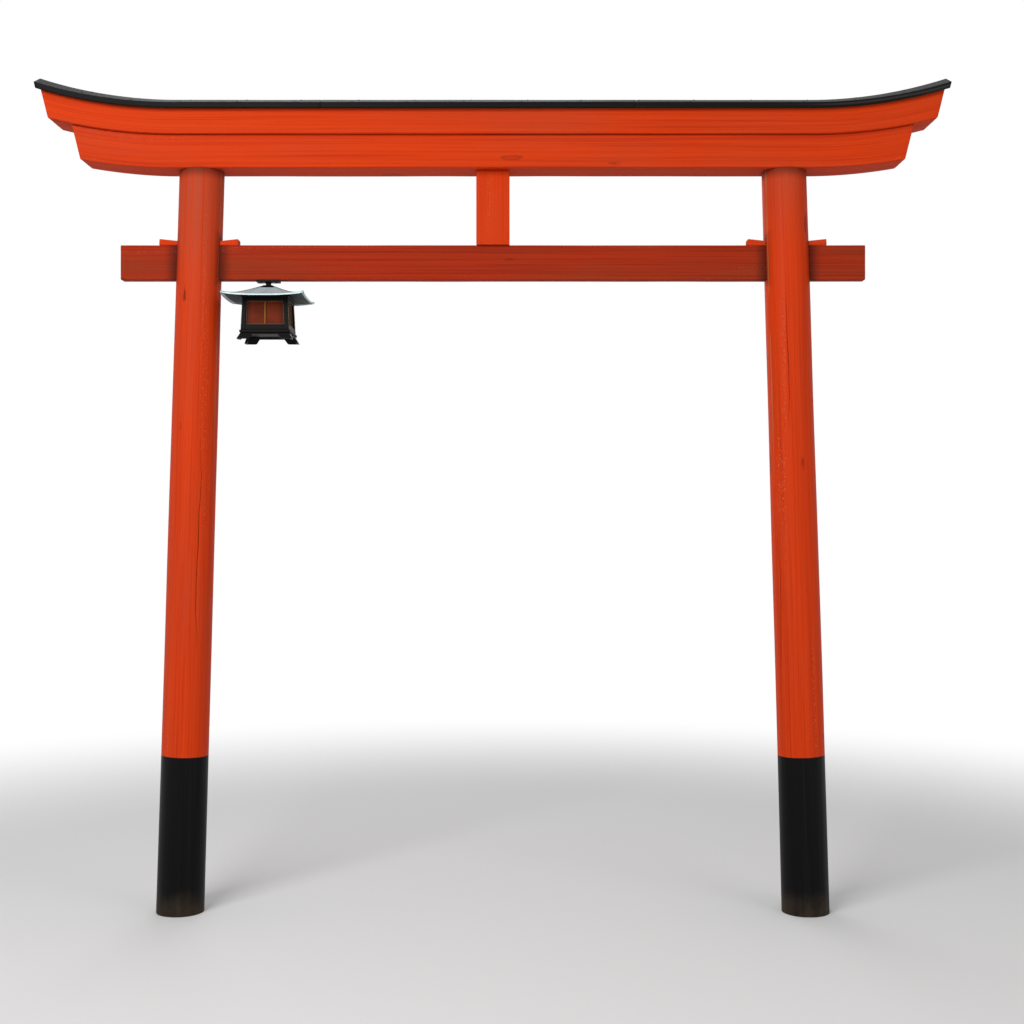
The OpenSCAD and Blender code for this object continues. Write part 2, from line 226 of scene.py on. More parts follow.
class Skin:
    """Collects closed grids of points into one mesh, with what the finishes read at each point.

    Its layers are the points' places, grain and marks. Grain is a point's place along, across
    and up its own timber; marks are three shares from 0 to 1: inside a drying check, which the
    vermilion darkens as painted shade, on an end face, and in a seam where dirt gathers.
    """

    def __init__(self, crease: float = 40.0) -> None:
        """Start with no points.

        Args:
            crease: Angle in degrees above which an edge stays sharp.
        """
        self._crease = crease
        self._layers: tuple[list[Array], ...] = ([], [], [])
        self._faces: list[Array] = []
        self._count = 0

    def add(
        self, grid: Array, grain: Array | None = None, marks: Array | None = None,
        ring: bool = False,
    ) -> "Skin":
        """Add one closed shell: a grid whose columns run round, one row after the other.

        The shell is closed by a fan about the mean point of the first row and of the last row,
        or, for a ring, by joining the last row to the first. Its faces are turned outwards where
        the volume that they enclose, the sum of the dot product of a corner with the cross
        product of the other two, comes out negative.

        Args:
            grid: Points of shape (rows, columns, 3).
            grain: Place of each point in its timber, of the same shape, or None for the points.
            marks: Shares at each point, of the same shape, or None for none.
            ring: True where the rows close on themselves too.

        Returns:
            This skin.
        """
        rows, cols = grid.shape[:2]
        index = np.arange(rows * cols).reshape(rows, cols)
        below = index if ring else index[:-1]
        above = np.roll(index, -1, axis=0) if ring else index[1:]
        right_below, right_above = np.roll(below, -1, axis=1), np.roll(above, -1, axis=1)
        quads = np.stack([below, right_below, right_above, above], axis=-1).reshape(-1, 4)
        fans = np.zeros((0, 3), int)
        if not ring:
            size = index.size
            low = np.stack([np.full(cols, size), np.roll(index[0], -1), index[0]], axis=1)
            high = np.stack([np.full(cols, size + 1), index[-1], np.roll(index[-1], -1)], axis=1)
            fans = np.concatenate([low, high])
        grain = grid if grain is None else grain
        marks = np.zeros_like(grid) if marks is None else marks
        for layer, value in zip(self._layers, (grid, grain, marks)):
            ends = [] if ring else [value[0].mean(0)[None], value[-1].mean(0)[None]]
            layer.append(np.concatenate([value.reshape(-1, 3), *ends]))
        points = self._layers[0][-1]
        corner = points[np.concatenate([quads[:, :3], quads[:, [0, 2, 3]], fans])]
        if np.einsum("ij,ij->", corner[:, 0], np.cross(corner[:, 1], corner[:, 2])) < 0.0:
            quads, fans = quads[:, ::-1], fans[:, ::-1]
        self._faces += [quads + self._count, fans + self._count]
        self._count += len(points)
        return self

    def studs(self, centres: Array, up: Array, radius: float, height: float) -> None:
        """Add low domed heads, such as nails, all of one size.

        A head is a dome over a disc: at a share t of its radius the height is
        height * sqrt(1 - t^2), and its foot goes down into what carries it.

        Args:
            centres: Middle of each head's foot, of shape (heads, 3).
            up: Direction of each head, of the same shape and not along X.
            radius: Radius of a head.
            height: Height of a head's middle.
        """
        up = up / np.linalg.norm(up, axis=1, keepdims=True)
        side = np.cross(up, [1.0, 0.0, 0.0])
        side /= np.linalg.norm(side, axis=1, keepdims=True)
        other = np.cross(up, side)
        sides = 10
        angle = np.linspace(0.0, 2.0 * np.pi, sides, endpoint=False)
        share = np.array([0.92, 1.0, 0.8, 0.45])
        lift = np.array([-0.35, 0.1, 0.6, 0.92]) * height
        flat = np.cos(angle)[:, None] * side[:, None] + np.sin(angle)[:, None] * other[:, None]
        heads = centres[:, None, None] + radius * share[None, :, None, None] * flat[:, None]
        heads = heads + lift[None, :, None, None] * up[:, None, None]
        for head in heads:
            self.add(head)

    def mirrored(self, middle: float) -> "Skin":
        """The mirror image about the plane x = middle, with its faces turned outwards again.

        Args:
            middle: Place of the plane along X.

        Returns:
            The mirrored skin.
        """
        image = Skin(self._crease)
        places, grain, marks = self._layers
        places = [place * [-1.0, 1.0, 1.0] + [2.0 * middle, 0.0, 0.0] for place in places]
        image._layers = (places, list(grain), list(marks))
        image._faces, image._count = [faces[:, ::-1] for faces in self._faces], self._count
        return image

    def mesh(self, name: str) -> Piece:
        """Make the object: smooth shading, with edges sharper than the crease kept sharp.

        Args:
            name: Name of the piece.

        Returns:
            The new object, at the origin, linked to the scene.
        """
        data = bpy.data.meshes.new(name)
        places, grain, marks = (np.concatenate(layer).astype(np.float32) for layer in self._layers)
        data.vertices.add(len(places))
        data.vertices.foreach_set("co", places.ravel())
        sizes = np.concatenate([np.full(len(face), face.shape[1]) for face in self._faces])
        loops = np.concatenate([face.ravel() for face in self._faces])
        data.loops.add(len(loops))
        data.loops.foreach_set("vertex_index", loops.astype(np.int32))
        data.polygons.add(len(sizes))
        starts = np.concatenate([[0], np.cumsum(sizes)[:-1]])
        data.polygons.foreach_set("loop_start", starts.astype(np.int32))
        for label, layer in (("grain", grain), ("marks", marks)):
            held = data.attributes.new(label, "FLOAT_VECTOR", "POINT").data
            held.foreach_set("vector", layer.ravel())
        data.update(calc_edges=True)
        data.validate()
        data.shade_smooth()
        data.set_sharp_from_angle(angle=math.radians(self._crease))
        piece = bpy.data.objects.new(name, data)
        bpy.context.scene.collection.objects.link(piece)
        return piece


def dress(piece: Piece, finish: "Finish", slot: str, *nodes: str) -> Piece:
    """Give a piece its finish and its place in the frame.

    Args:
        piece: The new piece.
        finish: What its surface is finished with.
        slot: The record's material slot that the finish belongs to; not used.
        nodes: CAD nodes that the piece stands for.

    Returns:
        The piece.
    """
    piece.data.materials.append(finish.material())
    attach(piece, "root")
    if nodes:
        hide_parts(*nodes)
    triangles = sum(len(face.vertices) - 2 for face in piece.data.polygons)
    named = ", ".join(nodes) or "no node"
    log.info("%s: %d triangles, stands for %s", piece.name, triangles, named)
    return piece


@dataclass(frozen=True)
class Stick:
    """A straight timber between two points, with an eased rectangular section.

    Attributes:
        start: Middle of one end.
        end: Middle of the other end.
        width: Size of the section in the direction across.
        height: Size of the section at right angles to that, at the start.
        ease: Radius of its rounded edges.
        steps: Number of rows along it.
        rough: How far its faces waver, as a sawn or planed face does.
        seed: Number that picks the wavering.
        across: Direction in which the width is measured.
        taper: Height at the end, as a share of the height at the start.
        waves: Waves of its faces to a metre along it, across it and up it.
    """

    start: Point
    end: Point
    width: float
    height: float
    ease: float
    steps: int
    rough: float
    seed: int
    across: Point = (0.0, 1.0, 0.0)
    taper: float = 1.0
    waves: Point = (6.0, 40.0, 40.0)

    def shell(self) -> Shell:
        """The timber's points.

        A point is the middle line at its row, plus its outline point carried out along the two
        cross directions, plus a small wavering along them that follows the grain.

        Returns:
            Grids of places, of places in the grain, and of marks.
        """
        row = stations(self.ease, self.steps)
        begin, finish = np.array(self.start), np.array(self.end)
        run = finish - begin
        length = float(np.linalg.norm(run))
        axis = run / length
        across = np.array(self.across, float)
        up = np.cross(axis, across)
        up /= np.linalg.norm(up)
        across = np.cross(up, axis)
        along = row.place * (length / 2.0 - row.back)
        share = along / length + 0.5
        unit = rectangle(self.width, self.height, self.ease)
        section = unit.inset(row.inset) * row.scale[:, None, None]
        section[..., 1] *= ((self.taper - 1.0) * share + 1.0)[:, None]
        line = (begin + finish) / 2.0 + along[:, None] * axis
        row_along = np.broadcast_to(along[:, None, None], section.shape[:2] + (1,))
        local = np.concatenate([row_along, section], axis=2)
        drawn = local * self.waves
        wave = [waver(drawn + self.seed, self.seed), waver(drawn - 9.0, self.seed + 1)]
        section = section + self.rough * np.stack(wave, axis=2)
        grid = line[:, None] + section[..., :1] * across + section[..., 1:] * up
        marks = np.zeros_like(grid)
        marks[..., 1] = (row.back < self.ease * 0.5)[:, None]
        return grid, local + [self.seed * 1.7, 0.0, 0.0], marks

    def skin(self) -> Skin:
        """A skin of this timber alone."""
        return Skin().add(*self.shell())


# Shader nodes


class Wire:
    """An output socket. Between wires and numbers + - * and ** add Math nodes.

    On a wire that carries a vector they add Vector Math nodes, and a tuple stands for a vector.
    """

    def __init__(self, nodes: "Nodes", socket: bpy.types.NodeSocket | None) -> None:
        """Keep the socket and the tree that it belongs to."""
        self.nodes = nodes
        self.socket = socket

    def _work(self, operation: str, first: Operand, second: Operand) -> "Wire":
        """An operation on two operands, by the node for what this wire carries."""
        kind = "ShaderNodeVectorMath" if self.socket.type == "VECTOR" else "ShaderNodeMath"
        return self.nodes.node(kind, {"operation": operation}, {0: first, 1: second})

    def __add__(self, other: Operand) -> "Wire":
        """This value plus another."""
        return self._work("ADD", self, other)

    def __radd__(self, other: Operand) -> "Wire":
        """Another value plus this one."""
        return self._work("ADD", other, self)

    def __sub__(self, other: Operand) -> "Wire":
        """This value less another."""
        return self._work("SUBTRACT", self, other)

    def __rsub__(self, other: Operand) -> "Wire":
        """Another value less this one."""
        return self._work("SUBTRACT", other, self)

    def __mul__(self, other: Operand) -> "Wire":
        """This value times another."""
        return self._work("MULTIPLY", self, other)

    def __pow__(self, other: Operand) -> "Wire":
        """This number to a power."""
        return self._work("POWER", self, other)

    def __abs__(self) -> "Wire":
        """This number without its sign."""
        return self.nodes.node("ShaderNodeMath", {"operation": "ABSOLUTE"}, {0: self})

    def least(self, other: Operand) -> "Wire":
        """The smaller of this number and another."""
        return self._work("MINIMUM", self, other)

    def most(self, other: Operand) -> "Wire":
        """The larger of this number and another."""
        return self._work("MAXIMUM", self, other)

    def rise(self, low: float, high: float) -> "Wire":
        """A smooth share that goes from 0 where this is low to 1 where it is high.

        Args:
            low: Value at which the share is 0.
            high: Value at which it is 1, which may lie under low.

        Returns:
            The share.
        """
        ends = {"Value": self, "From Min": low, "From Max": high}
        if high < low:
            ends.update({"From Min": high, "From Max": low, "To Min": 1.0, "To Max": 0.0})
        settings = {"interpolation_type": "SMOOTHSTEP", "clamp": True}
        return self.nodes.node("ShaderNodeMapRange", settings, ends, "Result")


class Nodes:
    """The node tree of a material or of the world, filled by one method that adds any node."""

    def __init__(self, owner: bpy.types.Material | bpy.types.World) -> None:
        """Clear the tree of its owner.

        Args:
            owner: The material or the world.
        """
        owner.use_nodes = True
        self.tree = owner.node_tree
        self.tree.nodes.clear()

    def node(
        self, kind: str, settings: dict[str, object], sockets: dict[str | int, Operand],
        output: str | int = 0,
    ) -> Wire:
        """Add a node.

        Args:
            kind: Type of the node.
            settings: Its properties, which are set first.
            sockets: Values or wires of its inputs, by name or number.
            output: Name or number of the output to return.

        Returns:
            The wire of that output.
        """
        made = self.tree.nodes.new(kind)
        for name, value in settings.items():
            setattr(made, name, value)
        for name, value in sockets.items():
            if isinstance(value, Wire):
                self.tree.links.new(value.socket, made.inputs[name])
            elif isinstance(value, tuple) and made.inputs[name].type == "RGBA":
                made.inputs[name].default_value = (*value[:3], 1.0)
            else:
                made.inputs[name].default_value = value
        return Wire(self, made.outputs[output] if made.outputs else None)

    def attribute(self, name: str) -> Wire:
        """What a mesh holds under a name, as a vector."""
        return self.node("ShaderNodeAttribute", {"attribute_name": name}, {}, "Vector")

    def place(self) -> Wire:
        """The point of the surface in the shared frame, in metres."""
        return self.node("ShaderNodeTexCoord", {}, {}, "Object")

    def split(self, vector: Wire) -> tuple[Wire, ...]:
        """The x, y and z of a vector."""
        made = self.node("ShaderNodeSeparateXYZ", {}, {0: vector}).socket.node
        return tuple(Wire(self, output) for output in made.outputs)

    def noise(
        self, vector: Wire, scale: float = 1.0, detail: float = 3.0, roughness: float = 0.5
    ) -> Wire:
        """Smooth noise about 0.5; detail is its finer layers, and roughness their weight."""
        sockets = {"Vector": vector, "Scale": scale, "Detail": detail, "Roughness": roughness}
        return self.node("ShaderNodeTexNoise", {}, sockets, "Fac")

    def spots(self, vector: Wire) -> tuple[Wire, Wire]:
        """Scattered spots, one to a unit of the coordinates.

        Args:
            vector: Coordinates of the pattern.

        Returns:
            The distance to the nearest spot, and its own random number from 0 to 1.
        """
        sockets = {"Vector": vector, "Scale": 1.0}
        distance = self.node("ShaderNodeTexVoronoi", {"feature": "F1"}, sockets, "Distance")
        colour = Wire(self, distance.socket.node.outputs["Color"])
        return distance, self.split(colour)[0]

    def coats(self, colour: Operand, *coats: tuple[Operand, Colour]) -> Operand:
        """A colour under coats of others, laid one after the other.

        Args:
            colour: The colour underneath.
            coats: The share that each coat covers, and its colour.

        Returns:
            The colour that shows.
        """
        settings = {"data_type": "RGBA", "clamp_factor": True}
        for share, tone in coats:
            colour = self.node("ShaderNodeMix", settings, {0: share, 6: colour, 7: tone}, 2)
        return colour

    def sight(self) -> Wire:
        """Which rays see the background: the camera's, those in gloss and those through glass.

        Returns:
            One on those rays, and zero on the others.
        """
        kinds = ("Is Camera Ray", "Is Glossy Ray", "Is Transmission Ray")
        camera, gloss, through = (self.node("ShaderNodeLightPath", {}, {}, kind) for kind in kinds)
        return camera.most(gloss).most(through)

    def surface(
        self, colour: Operand, roughness: Operand, height: Wire, depth: float, **others: Operand
    ) -> None:
        """Finish the tree with one surface shader.

        Args:
            colour: Base colour.
            roughness: Roughness.
            height: Relief, as a share of the depth.
            depth: Depth of the relief in metres.
            others: Other sockets of the shader, whose names are given with _ for a space.
        """
        relief = {"Strength": 0.8, "Distance": depth, "Height": height}
        bump = self.node("ShaderNodeBump", {}, relief, "Normal")
        sockets = {"Base Color": colour, "Roughness": roughness, "Normal": bump}
        sockets.update({name.replace("_", " "): value for name, value in others.items()})
        shader = self.node("ShaderNodeBsdfPrincipled", {}, sockets)
        self.node("ShaderNodeOutputMaterial", {}, {"Surface": shader})


@dataclass(frozen=True)
class Finish:
    """A finish.

    Attributes:
        name: Name of its material.
    """

    name: str

    def material(self) -> bpy.types.Material:
        """The Blender material, made the first time that it is asked for.

        Returns:
            The material of this finish's name.
        """
        made = bpy.data.materials.get(self.name)
        if made is None:
            made = bpy.data.materials.new(self.name)
            self.lay(Nodes(made))
        return made

    def lay(self, nodes: Nodes) -> None:
        """Fill the material's tree."""
        raise NotImplementedError


class Weathering(Enum):
    """How worn a painted timber is: the share of its paint that the sun has faded."""

    FRESH = 0.12
    MELLOW = 0.35
    FADED = 0.7


@dataclass(frozen=True)
class Vermilion(Finish):
    """Vermilion paint brushed over planed timber, with its grain, knots, chips and fading, and with
    painted shade in its checks and where other pieces meet it.

    Attributes:
        fresh: Colour of sound paint.
        deep: Colour along the darker lines of the grain.
        pale: Colour that the sun turns it to.
        weathering: How much of it has faded.
        fade_from: Height above the ground from which a post's top has faded.
        bare: Colour of the wood under the chips.
        grime_and_shade: Colour of knots and dirt, and of the painted shade in checks and where other
            pieces meet the timber.
        green: Colour of the thin growth on the posts, and of the painted reflection along their
            edge.
        chips: Share of paint that has flaked off in small specks.
        knots: How dark the knots show through the paint.
        roughness: Roughness of sound paint.
        shift: Place in the noise, so that no two timbers are alike.
    """

    fresh: Colour = srgb(206, 58, 6)
    deep: Colour = srgb(182, 45, 5)
    pale: Colour = srgb(170, 70, 44)
    bare: Colour = srgb(206, 172, 140)
    grime_and_shade: Colour = srgb(46, 16, 10)
    green: Colour = srgb(150, 132, 88)
    weathering: Weathering = Weathering.MELLOW
    fade_from: float = 9.0
    chips: float = 0.3
    knots: float = 0.4
    roughness: float = 0.62
    shift: float = 0.0

    def shade_and_dirt(self, nodes: Nodes) -> Operand:
        """Share of painted shade and dirt where others meet this timber; none on plain paint."""
        return 0.0

    def growth_and_reflection(self, nodes: Nodes) -> Operand:
        """Share of pale growth and painted reflection on the timber; none on plain paint."""
        return 0.0

    def lay(self, nodes: Nodes) -> None:
        """Layers, from the wood up: grain in the paint, fading, knots, dirt with painted shade where
        others meet it, checks painted dark as shade, and chips.

        The grain is noise stretched along the timber at three widths. Fading follows a slow
        noise, and on posts also the height. A knot is a stretched spot with a dark rim. Chips
        are the peaks of a fine noise inside a few long streaks.

        Args:
            nodes: Node maker.
        """
        grain = nodes.attribute("grain") + (self.shift, self.shift * 0.37, self.shift * 0.61)
        check, end, seam = nodes.split(nodes.attribute("marks"))
        height = nodes.split(nodes.place())[2]
        hair = nodes.noise(grain * (2.2, 620.0, 620.0), detail=2.0)
        fine = nodes.noise(grain * (1.2, 210.0, 210.0), roughness=0.65)
        broad = nodes.noise(grain * (0.7, 42.0, 42.0), detail=2.0)
        slow = nodes.noise(grain * (1.4, 6.0, 6.0), detail=2.0)
        lines = fine.rise(0.34, 0.62) * 0.45 + broad.rise(0.25, 0.6) * 0.3
        lines = lines + hair.rise(0.3, 0.6) * 0.25
        top = height.rise(self.fade_from, self.fade_from + 0.55) * broad.rise(0.2, 0.55) * 0.9
        sun = (slow.rise(0.35, 0.75) * self.weathering.value).most(top)
        spot, pick = nodes.spots(grain * (2.6, 11.0, 11.0))
        near = spot + nodes.noise(grain * (30.0, 90.0, 90.0)) * 0.08
        knot = near.rise(0.17, 0.12) * pick.rise(0.62, 0.66)
        rim = knot * near.rise(0.09, 0.14)
        rings = nodes.node(
            "ShaderNodeTexWave", {"wave_type": "RINGS", "rings_direction": "X"},
            {"Vector": grain, "Scale": 55.0, "Distortion": 1.5, "Detail": 2.0}, "Fac",
        )
        streak = nodes.noise(grain * (0.8, 22.0, 22.0) + (7.0, 3.0, 5.0), detail=1.0)
        streak = streak.rise(0.62, 0.74) * self.chips
        speck = nodes.noise(grain * (150.0, 420.0, 420.0), roughness=0.7).rise(0.6, 0.66)
        chip = speck * (streak + check.rise(0.05, 0.3) * 0.35).least(1.0)
        colour = nodes.coats(
            self.deep,
            (lines.rise(0.05, 0.95), self.fresh),
            (sun * fine.rise(0.2, 0.6), self.pale),
            (knot * self.knots + rim * (self.knots * 0.8), self.grime_and_shade),
            (end * rings * 0.5, self.deep),
            # pale growth, and a painted reflection along the post's edge
            (self.growth_and_reflection(nodes), self.green),
            # painted shade and dirt in seams and where other pieces meet the timber
            (seam.most(self.shade_and_dirt(nodes)).least(1.0), self.grime_and_shade),
            # painted shade inside the drying checks
            (check.rise(0.15, 0.75), self.grime_and_shade),
            (chip, self.bare),
        )
        roughness = self.roughness + fine * 0.12 + sun * 0.15 + chip * 0.2 + end * 0.1
        relief = broad * 0.55 + fine * 0.35 + hair * 0.12 - rim * 0.3 - chip * 0.4
        nodes.surface(colour, roughness, relief, mm(0.9), Specular_IOR_Level=0.09)


@dataclass(frozen=True, kw_only=True)
class PostPaint(Vermilion):
    """Vermilion on a post, with a painted shadow line round its slot, a darker halo round the slot,
    and painted shade under the lintel.

    Attributes:
        slot_z: Height of the middle of the slot.
        slot_half: Half the width and half the height of the slot.
        top_z: Height of the lintel on the post.
        edge: Direction round the log, from the gate's middle, of a thin line of growth and painted
            reflection.
        grown: How dense the growth and the painted reflection are.
    """

    slot_z: float = 2.365
    slot_half: Pair = (mm(25.6), mm(75.0))
    top_z: float = 2.685
    edge: float
    grown: float

    def shade_and_dirt(self, nodes: Nodes) -> Wire:
        """Painted shadow in the gap round the slot, a darker halo within a few centimetres of the
        slot, and painted shade under the lintel.

        The gap is where the distance to the slot's rectangle, the larger of |y| - half width
        and |z - middle| - half height, is near zero.

        Args:
            nodes: Node maker.

        Returns:
            Amount of painted shade and darkening from 0 to 1.
        """
        _, y, z = nodes.split(nodes.place())
        edge = (abs(y) - self.slot_half[0]).most(abs(z - self.slot_z) - self.slot_half[1])
        # painted shadow line in the gap round the slot
        gap = abs(edge).rise(mm(3.0), mm(0.8)) * 0.9
        # darker halo within 34 mm of the slot
        stain = edge.rise(mm(34.0), 0.0) * 0.4
        # painted shade under the lintel
        under = z.rise(self.top_z - 0.045, self.top_z) * 0.65
        return gap.most(stain).most(under)

    def growth_and_reflection(self, nodes: Nodes) -> Wire:
        """A line about 7 mm wide down the upper half of the log, broken up by noise: pale growth,
        and a painted reflection along that edge.

        With c and s the cosine and sine of the line's direction, a point of the section (u, v)
        lies v c - u s to one side of the line, and on its side of the log where u c + v s > 0.

        Args:
            nodes: Node maker.

        Returns:
            Cover of the line from 0 to 1.
        """
        grain = nodes.attribute("grain")
        _, u, v = nodes.split(grain)
        c, s = math.cos(self.edge), math.sin(self.edge)
        patch = nodes.noise(grain * (11.0, 150.0, 150.0), detail=4.0, roughness=0.65)
        swell = nodes.noise(grain * (3.0, 3.0, 3.0), detail=2.0)
        aside = abs(v * c - u * s) + (patch - 0.5) * mm(11.0) - (swell - 0.5) * mm(9.0)
        facing = (u * c + v * s).rise(0.0, mm(20.0))
        high = nodes.split(nodes.place())[2].rise(1.35, 2.25)
        line = aside.rise(mm(4.0), mm(0.5)) * facing * high
        return line * (patch + swell).rise(0.8, 1.15) * self.grown


@dataclass(frozen=True, kw_only=True)
class BeamPaint(Vermilion):
    """Vermilion on the tie beam, with painted shade where it goes into the two posts.

    Attributes:
        middle: Place of the gate's middle.
        post_at: Distance from the middle to a post's axis at the beam.
        post_half: Half the width of a post at the beam's faces.
    """

    middle: float
    post_at: float
    post_half: float

    def shade_and_dirt(self, nodes: Nodes) -> Wire:
        """Painted shade that fades out from a post's side along the beam."""
        out = abs(abs(nodes.split(nodes.place())[0] - self.middle) - self.post_at)
        # painted shade where the beam goes into a post
        return out.rise(self.post_half + 0.05, self.post_half - 0.002) * 0.75


@dataclass(frozen=True)
class BlackPaint(Finish):
    """Black paint on timber: satin, with the grain just showing, dusty near the ground.

    Attributes:
        tone: Colour of sound paint.
        worn: Colour where it has dulled along the grain.
        dust: Colour of the dust on it.
        crack: Colour in its cracks and seams.
        dust_to: Height above the ground up to which dust has settled.
        roughness: Roughness of sound paint.
        shift: Place in the noise, so that no two pieces are alike.
    """

    tone: Colour = srgb(8, 8, 9)
    worn: Colour = srgb(24, 22, 22)
    dust: Colour = srgb(78, 66, 52)
    crack: Colour = srgb(6, 6, 6)
    dust_to: float = 0.0
    roughness: float = 0.36
    shift: float = 0.0

    def lay(self, nodes: Nodes) -> None:
        """Grain as stretched noise, dust as noise that thins out with the height, and specks.

        Args:
            nodes: Node maker.
        """
        grain = nodes.attribute("grain") + (self.shift, self.shift * 0.4, self.shift * 0.7)
        check, end, seam = nodes.split(nodes.attribute("marks"))
        height = nodes.split(nodes.place())[2]
        fine = nodes.noise(grain * (1.3, 150.0, 150.0), roughness=0.6)
        broad = nodes.noise(grain * (0.8, 26.0, 26.0), detail=2.0)
        blotch = nodes.noise(grain * (9.0, 16.0, 16.0), detail=4.0, roughness=0.6)
        low = height.rise(self.dust_to * 1.6, 0.0)
        powder = (low * (0.1 + blotch * 0.9 + broad * 0.5)).rise(0.3, 1.2) * 0.6
        speck = nodes.noise(grain * (240.0, 300.0, 300.0), detail=2.0).rise(0.69, 0.74)
        splash = height.rise(self.dust_to * 3.0, self.dust_to * 0.5) * speck * 0.5
        colour = nodes.coats(
            self.tone,
            (fine.rise(0.45, 0.75) * broad.rise(0.35, 0.7), self.worn),
            (powder.most(splash), self.dust),
            (check.most(seam * 0.8).least(1.0), self.crack),
        )
        roughness = self.roughness + fine * 0.14 + powder * 0.4 + end * 0.12
        relief = broad * 0.6 + fine * 0.4 - speck * 0.1
        nodes.surface(colour, roughness, relief, mm(0.8), Specular_IOR_Level=0.08)


@dataclass(frozen=True, kw_only=True)
class RoofTin(Finish):
    """Pale grey-green tin that the weather has dulled, with rain streaks down its slopes, and
    painted shade towards its hips and peak and on its underside.

    Attributes:
        tone: Colour of the sheet.
        rubbed: Colour of its lower edge.
        stain: Colour of the streaks.
        soot_and_shade: Colour of the rolls along its hips, and of the painted shade near the hips,
            towards the peak and on the underside.
        eaves: Height of the eaves and of the peak, between which painted shade darkens it towards
            the peak.
        middle: Place of the roof's middle along X.
    """

    tone: Colour = srgb(188, 211, 215)
    rubbed: Colour = srgb(190, 206, 209)
    stain: Colour = srgb(138, 160, 163)
    soot_and_shade: Colour = srgb(22, 23, 23)
    eaves: Pair
    middle: float

    def lay(self, nodes: Nodes) -> None:
        """Streaks are noise on the angle about the peak, stretched down the slope.

        Args:
            nodes: Node maker.
        """
        place = nodes.place()
        x, y, z = nodes.split(place - (self.middle, 0.0, 0.0))
        _, under, seam = nodes.split(nodes.attribute("marks"))
        angle = nodes.node("ShaderNodeMath", {"operation": "ARCTAN2"}, {0: y, 1: x})
        fan = nodes.node("ShaderNodeCombineXYZ", {}, {0: abs(angle) * 9.0, 1: z * 30.0, 2: y * 2.0})
        streak = nodes.noise(fan, 1.0, 4.0, 0.6)
        cloud = nodes.noise(place, 38.0, 4.0, 0.6)
        grit = nodes.noise(place, 900.0, 2.0)
        edge = z.rise(self.eaves[0] + mm(9.0), self.eaves[0] + mm(1.0))
        # painted shade near the hips
        hip_shade = abs(abs(x) - abs(y)).rise(mm(17.0), 0.0)
        # painted shade and reflection that darken the sheet towards the peak
        high = z.rise(self.eaves[0] + mm(40.0), self.eaves[1])
        # painted shade at the hips, the peak and on the underside, with the dark hip rolls
        shade_and_rolls = (hip_shade * 0.45).most(high * 0.7).most(seam * 0.85).most(under * 0.92)
        colour = nodes.coats(
            self.tone,
            (streak.rise(0.42, 0.72) * 0.55 + cloud.rise(0.5, 0.8) * 0.3, self.stain),
            (edge * 0.8 * cloud.rise(0.2, 0.5), self.rubbed),
            (shade_and_rolls, self.soot_and_shade),
        )
        roughness = 0.34 + cloud * 0.25 + grit * 0.08 + under * 0.35
        relief = cloud * 0.6 + grit * 0.3
        nodes.surface(colour, roughness, relief, mm(0.5), Metallic=0.2 - under * 0.2)


@dataclass(frozen=True)
class PaneSheet(Finish):
    """Dull amber sheet that lets a little light through, with fibres in it.

    Attributes:
        tone: Colour in the middle of the sheet.
        shade: Colour towards its side edges and in cloudy patches.
        fibre: Colour of the fibres in it.
    """

    tone: Colour = srgb(108, 36, 7)
    shade: Colour = srgb(58, 18, 5)
    fibre: Colour = srgb(140, 62, 20)

    def lay(self, nodes: Nodes) -> None:
        """Fibres are two crossed stretched noises; the shade grows towards the side edges.

        Args:
            nodes: Node maker.
        """
        grain = nodes.attribute("grain")
        cloud = nodes.noise(grain, 18.0, 3.0)
        upright = nodes.noise(grain * (60.0, 900.0, 900.0), 1.0, 2.0)
        cross = nodes.noise(grain * (900.0, 60.0, 900.0), 1.0, 2.0)
        threads = upright.rise(0.6, 0.75).most(cross.rise(0.62, 0.76))
        rim = abs(nodes.split(grain)[1]).rise(0.035, 0.075)
        # darker in cloudy patches and towards the side edges
        dust = (cloud.rise(0.4, 0.7) * 0.45).most(rim * 0.8)
        colour = nodes.coats(self.tone, (dust, self.shade), (threads * 0.22, self.fibre))
        nodes.surface(
            colour, 0.5 + cloud * 0.2, threads * 0.5 + cloud * 0.5, mm(0.2),
            Transmission_Weight=0.02, Specular_IOR_Level=0.1,
        )


# The gate's sub-assemblies


@dataclass(frozen=True)
class GateSizes:
    """Sizes that the sub-assemblies share, as the part's source has them.

    Attributes:
        middle: Place of the gate's middle.
        lean: How far each post leans in.
        foot_d: Diameter of a post on the ground.
        top_d: Diameter of a post under the lintel.
        lintel_z: Height of the lower lintel's underside.
        tie_z: Height of the tie beam's underside.
        tie_h: Height of the tie beam.
        tie_t: Thickness of the tie beam.
        sweep_r: Radius on which the lintels sweep up.
        end_slant: Slant of the lintels' end cuts.
    """

    middle: float = mm(1136.0)
    lean: float = math.radians(1.7)
    foot_d: float = mm(172.0)
    top_d: float = mm(160.0)
    lintel_z: float = mm(2685.0)
    tie_z: float = mm(2290.0)
    tie_h: float = mm(125.0)
    tie_t: float = mm(50.0)
    sweep_r: float = mm(1900.0)
    end_slant: float = math.radians(14.0)

    def post_x(self, z: float) -> float:
        """Place of the left post's axis at a height."""
        return z * math.tan(self.lean)

    def post_r(self, along: Array | float) -> Array | float:
        """Radius of a post at a distance along its axis from the ground."""
        full = self.lintel_z / math.cos(self.lean)
        return (self.foot_d + (self.top_d - self.foot_d) * along / full) / 2.0

    def post_face(self, z: float, reach: "Reach") -> float:
        """Place of the left post's outer or inner face at a height."""
        cos = math.cos(self.lean)
        return self.post_x(z) + reach.value * self.post_r(z / cos) / cos


SIZES = GateSizes()


class Side(Enum):
    """Half of the gate that a piece is on; the right one is the left one's mirror image."""

    LEFT = "left"
    RIGHT = "right"


